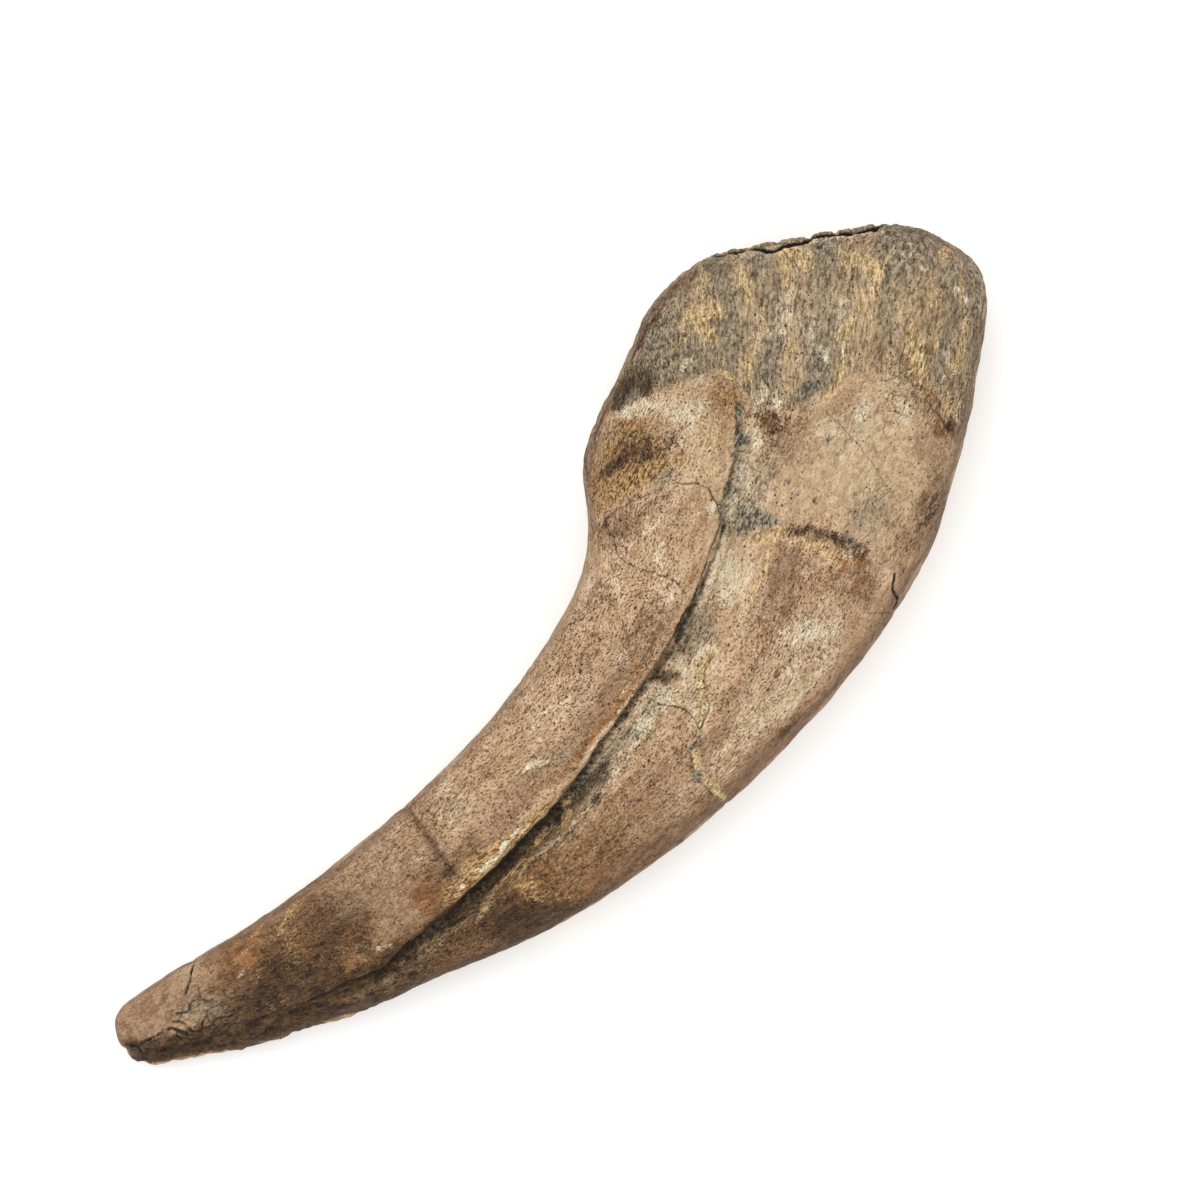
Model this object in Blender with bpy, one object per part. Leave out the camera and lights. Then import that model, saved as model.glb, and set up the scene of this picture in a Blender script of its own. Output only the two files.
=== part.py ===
"""Fossil claw core of a large meat-eating dinosaur, lying on its flank.

The claw is one solid bone, skinned over ribs. A rib runs across the claw from the concave (ventral)
edge to the convex (dorsal) edge and carries a rounded cross-section. A vascular groove runs along both
flanks, with a steep wall on its ventral side and a gentle slope on its dorsal side. Ledges part the
smooth crust, the fibrous base, the flakes and the broken tip of the upper flank.

Frame: +X towards the base, +Y towards the concave edge, +Z up. The origin lies on the surface that
the claw rests on, under the middle of its outline. Lengths are millimetres until the mesh is made.
"""

from math import cos, exp, pi, sin

import bmesh
import bpy
from mathutils import Vector
from mathutils.geometry import intersect_line_line_2d

# Driving dimensions
MM = 0.001
RINGS_PER_RIB = 3.4  # rings skinned for each step between two ribs
EDGE_COLUMNS = 9  # columns from each edge to the groove
EDGE_CROWDING = 0.9  # less than 1 gathers the columns near the edges
DORSAL_FLATNESS = 2.7  # exponent of the section: 2 is an ellipse, more is flatter
VENTRAL_FLATNESS = 3.4
REST_BITE = 0.45  # what lies this low is worn flat, level with the surface under the claw
RIM_SPANS = 4  # straight spans of the groove's rim between two of its points

# Ribs from the base to the tip: ventral point, dorsal point, half thickness, height of the middle.
RIBS = (
    ((70.9, 31.5), (96.2, 10.2), 11.6, 15.6),
    ((67.0, 32.8), (99.1, 3.6), 13.6, 15.7),
    ((62.0, 33.7), (99.8, -4.2), 14.5, 15.7),
    ((56.5, 33.5), (96.4, -10.1), 15.1, 15.7),
    ((50.5, 31.9), (87.5, -16.2), 15.6, 15.7),
    ((44.5, 30.1), (77.5, -21.8), 15.9, 15.7),
    ((38.5, 28.7), (68.0, -25.9), 15.8, 15.6),
    ((33.3, 27.0), (58.5, -30.1), 15.5, 15.5),
    ((28.2, 23.9), (48.5, -32.3), 15.1, 15.3),
    ((23.5, 18.9), (38.0, -33.5), 14.6, 15.1),
    ((17.5, 14.5), (28.0, -33.8), 14.0, 14.7),
    ((9.5, 11.5), (17.0, -33.5), 13.4, 14.1),
    ((0.0, 9.9), (5.0, -32.6), 12.7, 13.4),
    ((-10.0, 9.1), (-8.0, -30.4), 11.9, 12.7),
    ((-20.0, 9.2), (-21.0, -27.3), 11.0, 11.8),
    ((-30.0, 10.1), (-34.0, -23.2), 10.1, 10.9),
    ((-40.0, 11.4), (-45.5, -17.8), 9.2, 9.9),
    ((-50.0, 13.3), (-56.0, -12.3), 8.3, 8.8),
    ((-60.0, 15.7), (-66.0, -7.4), 7.5, 7.8),
    ((-70.0, 18.5), (-75.5, -1.6), 6.8, 6.8),
    ((-80.0, 21.7), (-84.5, 4.2), 6.0, 5.9),
    ((-88.5, 24.6), (-92.0, 10.1), 5.2, 5.1),
    ((-94.0, 26.1), (-97.3, 14.5), 4.4, 4.5),
    ((-97.3, 25.1), (-99.3, 16.8), 3.7, 4.4),
)
TIP_RIB = ((-98.9, 23.3), (-99.8, 18.2), 2.5, 4.3)
TIP_POINT = (-100.0, 20.9, 4.2)

# Rim of the groove, from the base to the tip, with the groove's depth at each point. Where the depth
# is nothing the rim only leads the mesh to the ends.
GROOVE = (
    ((82.0, 24.0), 0.0),
    ((66.0, 20.0), 0.0),
    ((57.0, 16.0), 0.1),
    ((53.0, 10.7), 0.6),
    ((48.0, 6.6), 1.0),
    ((42.0, 3.8), 1.3),
    ((36.0, 0.3), 1.5),
    ((30.0, -1.9), 1.7),
    ((22.0, -4.7), 2.0),
    ((10.0, -6.8), 2.5),
    ((0.0, -7.5), 2.9),
    ((-15.0, -9.0), 3.4),
    ((-30.0, -8.2), 3.3),
    ((-45.0, -6.5), 2.6),
    ((-55.0, -5.1), 2.0),
    ((-65.0, -2.1), 1.4),
    ((-72.0, 1.2), 0.8),
    ((-80.0, 6.0), 0.2),
    ((-90.0, 15.0), 0.0),
    ((-102.0, 21.5), 0.0),
)
# Across the groove from its rim towards the dorsal edge: distance from the rim, share of the depth.
GROOVE_PROFILE = ((0.0, 0.0), (0.7, 0.8), (1.4, 1.0), (2.4, 0.9), (3.8, 0.5), (5.8, 0.18))
GROOVE_SHARE = 0.4  # the profile narrows to keep within this share of the way to the dorsal edge
LOWER_GROOVE = 0.7  # the lower flank's groove is this much as deep

# Swells and hollows of the upper flank: middle, half width along x and y, height.
SWELLS = (
    ((43.0, 19.0), (9.0, 7.0), 0.8),  # side of the flexor tubercle
    ((61.0, -12.0), (11.0, 9.0), 0.6),  # cheek of smooth bone behind the ledge
    ((47.0, 0.0), (7.0, 4.0), -0.8),  # hollow where the groove starts
    ((20.0, 3.0), (14.0, 6.0), 0.5),  # shaft beside the groove
    ((45.0, -31.5), (3.0, 2.5), -1.1),  # chip out of the dorsal edge
    ((-57.0, -1.5), (4.0, 2.0), -0.5),  # pit above the groove
    ((-72.0, 9.0), (5.0, 4.0), -0.4),
)
# Ledges of the upper flank. The bone on the left of the line, looking along it, stands higher.
# Line, height of the ledge, length of the slope behind it.
LEDGES = (
    # smooth crust over the fibrous base
    (((74.0, -25.0), (75.0, -12.0), (75.0, -4.0), (66.0, 1.0), (59.0, 5.0), (56.5, 12.0)), 0.6, 14.0),
    (((56.5, 12.0), (56.5, 17.0), (50.0, 21.5), (44.0, 25.0), (40.5, 30.0)), 0.4, 10.0),
    # cheek behind the ledge crack
    (((50.5, -25.0), (48.0, -19.0), (46.0, -14.0), (43.0, -9.0)), -0.9, 7.0),
    # slab beside the flexor tubercle
    (((22.0, 9.0), (24.0, 13.5), (30.0, 14.0), (36.0, 11.5), (39.5, 7.0), (38.0, 2.0)), -0.5, 6.0),
    # flake scars across the shaft
    (((-34.5, 12.0), (-36.0, 5.0), (-40.0, -4.0)), 0.5, 7.0),
    (((-40.0, -12.0), (-36.0, -16.0), (-35.0, -23.0)), 0.4, 6.0),
    # broken surface along the dorsal side of the tip
    (((-76.0, 1.5), (-82.0, 6.5), (-88.0, 11.5), (-93.0, 15.0), (-99.5, 19.0)), -1.4, 12.0),
)
LEDGE_RUN = 1.2  # a ledge climbs over this distance

# Joint face at the base: size of each ring, and how far it stands out of the plane of the end
FACE_LOOPS = ((0.93, 0.3), (0.84, -0.4), (0.66, -1.6), (0.44, -2.4), (0.2, -2.8))
FACE_BOW = 0.4  # the middle of the rim stands out this much further than its two ends
FACE_RIDGE = 1.1  # height of the ridge that parts the joint face into two cups
FACE_RIDGE_WIDTH = 0.3


def curve_row(rows, place):
    """The row at a place along a table of numbers, on a Catmull-Rom curve through its rows."""
    last = len(rows) - 1
    index = min(int(place), last - 1)
    t = place - index
    a, b, c, d = (rows[max(0, min(last, index + step))] for step in (-1, 0, 1, 2))
    return [
        0.5 * (2 * q + (r - p) * t + (2 * p - 5 * q + 4 * r - s) * t**2 + (3 * q - p - 3 * r + s) * t**3)
        for p, q, r, s in zip(a, b, c, d)
    ]


def smooth_step(value):
    value = max(0.0, min(1.0, value))
    return value * value * (3.0 - 2.0 * value)


def fullness(v):
    """Share of the half thickness at a place v across the section, from -1 (ventral) to 1 (dorsal)."""
    flatness = VENTRAL_FLATNESS if v < 0 else DORSAL_FLATNESS
    return max(0.0, 1.0 - abs(v) ** flatness) ** (1.0 / flatness)


def groove_rim():
    """The groove's rim as a smooth line of (point, depth)."""
    rows = [(*point, depth) for point, depth in GROOVE]
    places = [step / RIM_SPANS for step in range((len(rows) - 1) * RIM_SPANS + 1)]
    return [(Vector((x, y)), depth) for x, y, depth in (curve_row(rows, place) for place in places)]


def groove_at(groove, ventral, dorsal):
    """Where a rib meets the groove's rim, from -1 (ventral) to 1 (dorsal), and the depth there."""
    for (start, start_depth), (end, end_depth) in zip(groove, groove[1:]):
        meeting = intersect_line_line_2d(ventral, dorsal, start, end)
        if meeting:
            across = (meeting - ventral).length / (dorsal - ventral).length
            along = (meeting - start).length / (end - start).length
            return 2.0 * across - 1.0, start_depth + (end_depth - start_depth) * along
    raise ValueError("a rib misses the groove's rim")


def columns(rim, half_width):
    """(place across the section, share of the groove's depth) from the ventral to the dorsal edge."""
    reach = GROOVE_PROFILE[-1][0]
    scale = min(1.0, GROOVE_SHARE * (1.0 - rim) * half_width / reach) / half_width
    foot = rim + reach * scale
    turns = [0.5 * pi * step / EDGE_COLUMNS for step in range(EDGE_COLUMNS + 1)]
    ventral_side = [(-1.0 + (rim + 1.0) * (1.0 - cos(turn) ** EDGE_CROWDING), 0.0) for turn in turns[:-1]]
    groove = [(rim + distance * scale, share) for distance, share in GROOVE_PROFILE]
    dorsal_side = [(foot + (1.0 - foot) * sin(turn) ** EDGE_CROWDING, 0.0) for turn in turns[1:]]
    return ventral_side + groove + dorsal_side


def swell_height(x, y):
    return sum(
        height * exp(-(((x - middle[0]) / wide[0]) ** 2) - ((y - middle[1]) / wide[1]) ** 2)
        for middle, wide, height in SWELLS
    )


def measure_from(line, spot):
    """Distance of a spot from a line, whether it is on the line's left, and its distance past an end."""
    found = []
    for start, end in zip(line, line[1:]):
        start, along = Vector(start), Vector(end) - Vector(start)
        share = along.dot(spot - start) / along.length_squared
        gap = (spot - start - along * max(0.0, min(1.0, share))).length
        found.append((gap, along.cross(spot - start) > 0.0, max(0.0, share - 1.0, -share) * along.length))
    return min(found)


def ledge_height(line, height, slope, x, y):
    """What one ledge adds: half its height on the high side, half taken off the low side, fading."""
    gap, on_left, past_end = measure_from(line, Vector((x, y)))
    side = smooth_step(gap / LEDGE_RUN) * (0.5 if on_left else -0.5)
    return height * side * max(0.0, 1.0 - gap / slope) * max(0.0, 1.0 - past_end / slope)


def relief(x, y):
    return swell_height(x, y) + sum(ledge_height(*ledge, x, y) for ledge in LEDGES)


def ring(rib, groove):
    """Points once round a section: over the upper flank to the dorsal edge and back underneath."""
    ventral, dorsal = Vector(rib[0:2]), Vector(rib[2:4])
    half_thickness, middle = rib[4:6]
    rim, depth = groove_at(groove, ventral, dorsal)
    upper, lower = [], []
    for v, share in columns(rim, 0.5 * (dorsal - ventral).length):
        x, y = ventral.lerp(dorsal, 0.5 * (v + 1.0))
        full = fullness(v)
        cut = depth * share
        bottom = middle - half_thickness * full + cut * LOWER_GROOVE
        upper.append(Vector((x, y, middle + half_thickness * full - cut + relief(x, y) * full)))
        lower.append(Vector((x, y, 0.0 if bottom < REST_BITE else bottom)))
    return upper + lower[-2:0:-1]


def body_rings():
    """Rings from the base to the tip."""
    rows = [(*ventral, *dorsal, half, middle) for ventral, dorsal, half, middle in (*RIBS, TIP_RIB)]
    steps = len(RIBS) - 1
    count = round(steps * RINGS_PER_RIB)
    groove = groove_rim()
    rings = [ring(curve_row(rows, steps * step / count), groove) for step in range(count + 1)]
    return rings + [ring(rows[-1], groove)]


def joint_face(rim_ring):
    """Rings from the middle of the joint face out to its rim, and the middle point."""
    ventral, dorsal, half_thickness, middle = RIBS[0]
    centre = sum(rim_ring, Vector()) / len(rim_ring)
    across = Vector((*dorsal, 0.0)) - Vector((*ventral, 0.0))
    outward = Vector((-across.y, across.x, 0.0)).normalized()
    floor_depth = FACE_LOOPS[-1][1]

    def placed(point, size, stand):
        away = point - centre
        along = 2.0 * away.dot(across) / across.length_squared
        side = away.z / half_thickness * size
        ridge = FACE_RIDGE * exp(-((side / FACE_RIDGE_WIDTH) ** 2)) * max(0.0, stand / floor_depth)
        return centre + away * size + outward * (stand + ridge + FACE_BOW * (1.0 - along**2))

    rings = [[placed(point, size, stand) for point in rim_ring] for size, stand in FACE_LOOPS[::-1]]
    rim = [placed(point, 1.0, 0.0) for point in rim_ring]
    return placed(centre, 0.0, floor_depth), rings + [rim]


def skin(rings, first_point, last_point):
    """A closed mesh over the rings, with a fan at each end."""
    bm = bmesh.new()
    loops = [[bm.verts.new(point * MM) for point in points] for points in rings]
    around = range(len(loops[0]))
    for near, far in zip(loops, loops[1:]):
        for i in around:
            bm.faces.new((near[i - 1], near[i], far[i], far[i - 1]))
    for loop, point in ((loops[0], first_point), (loops[-1], last_point)):
        pole = bm.verts.new(point * MM)
        for i in around:
            bm.faces.new((loop[i - 1], loop[i], pole))
    bmesh.ops.recalc_face_normals(bm, faces=bm.faces)
    return bm


def fossil_bone():
    material = bpy.data.materials.new("fossil_bone")
    material.use_nodes = True
    shader = material.node_tree.nodes["Principled BSDF"]
    shader.inputs["Base Color"].default_value = (0.35, 0.24, 0.15, 1.0)
    shader.inputs["Roughness"].default_value = 0.75
    shader.inputs["Metallic"].default_value = 0.0
    return material


def build_claw():
    rings = body_rings()
    face_middle, face_rings = joint_face(rings[0])
    bm = skin(face_rings + rings[1:], face_middle, Vector(TIP_POINT))
    mesh = bpy.data.meshes.new("claw")
    bm.to_mesh(mesh)
    bm.free()
    mesh.shade_smooth()
    mesh.materials.append(fossil_bone())
    bpy.context.scene.collection.objects.link(bpy.data.objects.new("claw", mesh))


def main():
    for obj in list(bpy.data.objects):
        bpy.data.objects.remove(obj)
    build_claw()


main()
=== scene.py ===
from math import cos, radians, sin
from random import Random
from types import SimpleNamespace

import bpy
import numpy as np
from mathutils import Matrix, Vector, noise


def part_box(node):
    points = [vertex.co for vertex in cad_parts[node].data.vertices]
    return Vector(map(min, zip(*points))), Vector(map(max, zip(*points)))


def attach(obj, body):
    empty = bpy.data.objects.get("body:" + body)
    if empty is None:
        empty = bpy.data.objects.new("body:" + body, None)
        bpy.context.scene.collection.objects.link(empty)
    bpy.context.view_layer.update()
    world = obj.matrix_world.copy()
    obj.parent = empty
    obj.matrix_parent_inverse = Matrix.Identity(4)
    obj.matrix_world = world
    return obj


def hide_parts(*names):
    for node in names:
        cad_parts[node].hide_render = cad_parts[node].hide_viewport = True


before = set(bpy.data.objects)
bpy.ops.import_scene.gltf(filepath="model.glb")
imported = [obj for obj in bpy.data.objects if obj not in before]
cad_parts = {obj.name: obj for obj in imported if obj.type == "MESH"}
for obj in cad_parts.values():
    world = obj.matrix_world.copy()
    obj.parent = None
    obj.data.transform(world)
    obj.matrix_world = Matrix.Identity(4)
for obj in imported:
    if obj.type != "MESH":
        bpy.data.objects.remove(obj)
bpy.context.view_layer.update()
mm = 0.001
along, across, up = 0, 1, 2


def toLinear(colour):
    # sRGB hex to the linear colour that shaders take
    parts = [int(colour[i:i + 2], 16) / 255 for i in (1, 3, 5)]
    return [c / 12.92 if c <= 0.04045 else ((c + 0.055) / 1.055) ** 2.4 for c in parts] + [1.0]


def smoothStep(low, high, value):
    share = np.clip((value - low) / (high - low), 0.0, 1.0)
    return share * share * (3.0 - 2.0 * share)


def bell(value, middle, width):
    return np.exp(-(((value - middle) / width) ** 2))


def onlySelect(piece):
    bpy.ops.object.select_all(action="DESELECT")
    piece.select_set(True)
    bpy.context.view_layer.objects.active = piece


def applyModifier(piece, kind, **settings):
    onlySelect(piece)
    modifier = piece.modifiers.new(kind.title(), kind)
    for name, value in settings.items():
        setattr(modifier, name, value)
    bpy.ops.object.modifier_apply(modifier=modifier.name)


def editFaces(piece, chosen, operator, **settings):
    # runs one edit mode operator on the chosen faces
    onlySelect(piece)
    mesh = piece.data
    mesh.vertices.foreach_set("select", np.zeros(len(mesh.vertices), bool))
    mesh.edges.foreach_set("select", np.zeros(len(mesh.edges), bool))
    mesh.polygons.foreach_set("select", chosen)
    bpy.context.tool_settings.mesh_select_mode = (False, False, True)
    bpy.ops.object.mode_set(mode="EDIT")
    operator(**settings)
    bpy.ops.object.mode_set(mode="OBJECT")


def everyFace(piece):
    return np.ones(len(piece.data.polygons), bool)


def readSpots(mesh):
    # vertex places in millimetres
    spots = np.empty(len(mesh.vertices) * 3)
    mesh.vertices.foreach_get("co", spots)
    return spots.reshape(-1, 3) / mm


def writeSpots(mesh, spots):
    mesh.vertices.foreach_set("co", (spots * mm).ravel())
    mesh.update()


def readNormals(mesh):
    normals = np.empty(len(mesh.vertices) * 3, np.float32)
    mesh.vertex_normals.foreach_get("vector", normals)
    return normals.reshape(-1, 3).astype(float)


def readFaces(mesh):
    # face middles in millimetres, and face normals
    middles, normals = (np.empty(len(mesh.polygons) * 3, np.float32) for _ in range(2))
    mesh.polygons.foreach_get("center", middles)
    mesh.polygons.foreach_get("normal", normals)
    return middles.reshape(-1, 3) / mm, normals.reshape(-1, 3)


def cloud(spots, size, octaves, shift):
    # fractal noise, about -1 to 1, whose largest lumps are size millimetres
    return np.array([noise.fractal(spot, 0.9, 2.0, octaves) for spot in (spots / size + shift).tolist()])


def drift(spots, pushes):
    # a smooth random push of every spot, mm
    total = 0.0
    for size, reach, shift in pushes:
        places = (spots / size + shift).tolist()
        total = total + reach * np.array([noise.noise_vector(place) for place in places])
    return total


def smoothLine(points, spans=4):
    # a Catmull-Rom curve through the rows, as rows closer together
    rows = np.array(points, float)
    rows = np.vstack([2 * rows[0] - rows[1], rows, 2 * rows[-1] - rows[-2]])
    curve = []
    for a, b, c, d in zip(rows, rows[1:], rows[2:], rows[3:]):
        for t in np.arange(spans) / spans:
            curve.append(0.5 * (2 * b + (c - a) * t + (2 * a - 5 * b + 4 * c - d) * t**2
                                + (3 * b - a - 3 * c + d) * t**3))
    return np.array(curve + [rows[-2]])


def lineSteps(line):
    # how far along the line each of its points lies
    steps = np.linalg.norm(np.diff(line[:, :2], axis=0), axis=1)
    return steps, np.concatenate([[0.0], np.cumsum(steps)])


def measureFrom(line, spots):
    # per spot: gap to the line, offset (the gap, but negative on the line's right), place along it and
    # distance past its ends
    line = np.asarray(line, float)[:, :2]
    steps, starts = lineSteps(line)
    flat = spots[:, :2]
    gap, side, place, past = (np.full(len(flat), fill) for fill in (1e9, 1.0, 0.0, 0.0))
    for start, end, step, before in zip(line, line[1:], steps, starts):
        run = end - start
        away = flat - start
        share = away @ run / step**2
        held = np.clip(share, 0.0, 1.0)
        here = np.linalg.norm(away - held[:, None] * run, axis=1)
        near = here < gap
        gap = np.where(near, here, gap)
        side = np.where(near, np.where(run[0] * away[:, 1] > run[1] * away[:, 0], 1.0, -1.0), side)
        place = np.where(near, before + held * step, place)
        past = np.where(near, np.maximum(np.maximum(share - 1.0, -share), 0.0) * step, past)
    return SimpleNamespace(gap=gap, offset=gap * side, place=place, past=past)


# Line along the middle of the claw, which the grain follows
centreLine = (
    (112, 14), (98, 11), (85, 8), (60, 2), (40, -3), (20, -9), (0, -11), (-20, -9), (-40, -4), (-60, 3),
    (-80, 13), (-98, 21), (-110, 26),
)

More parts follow.
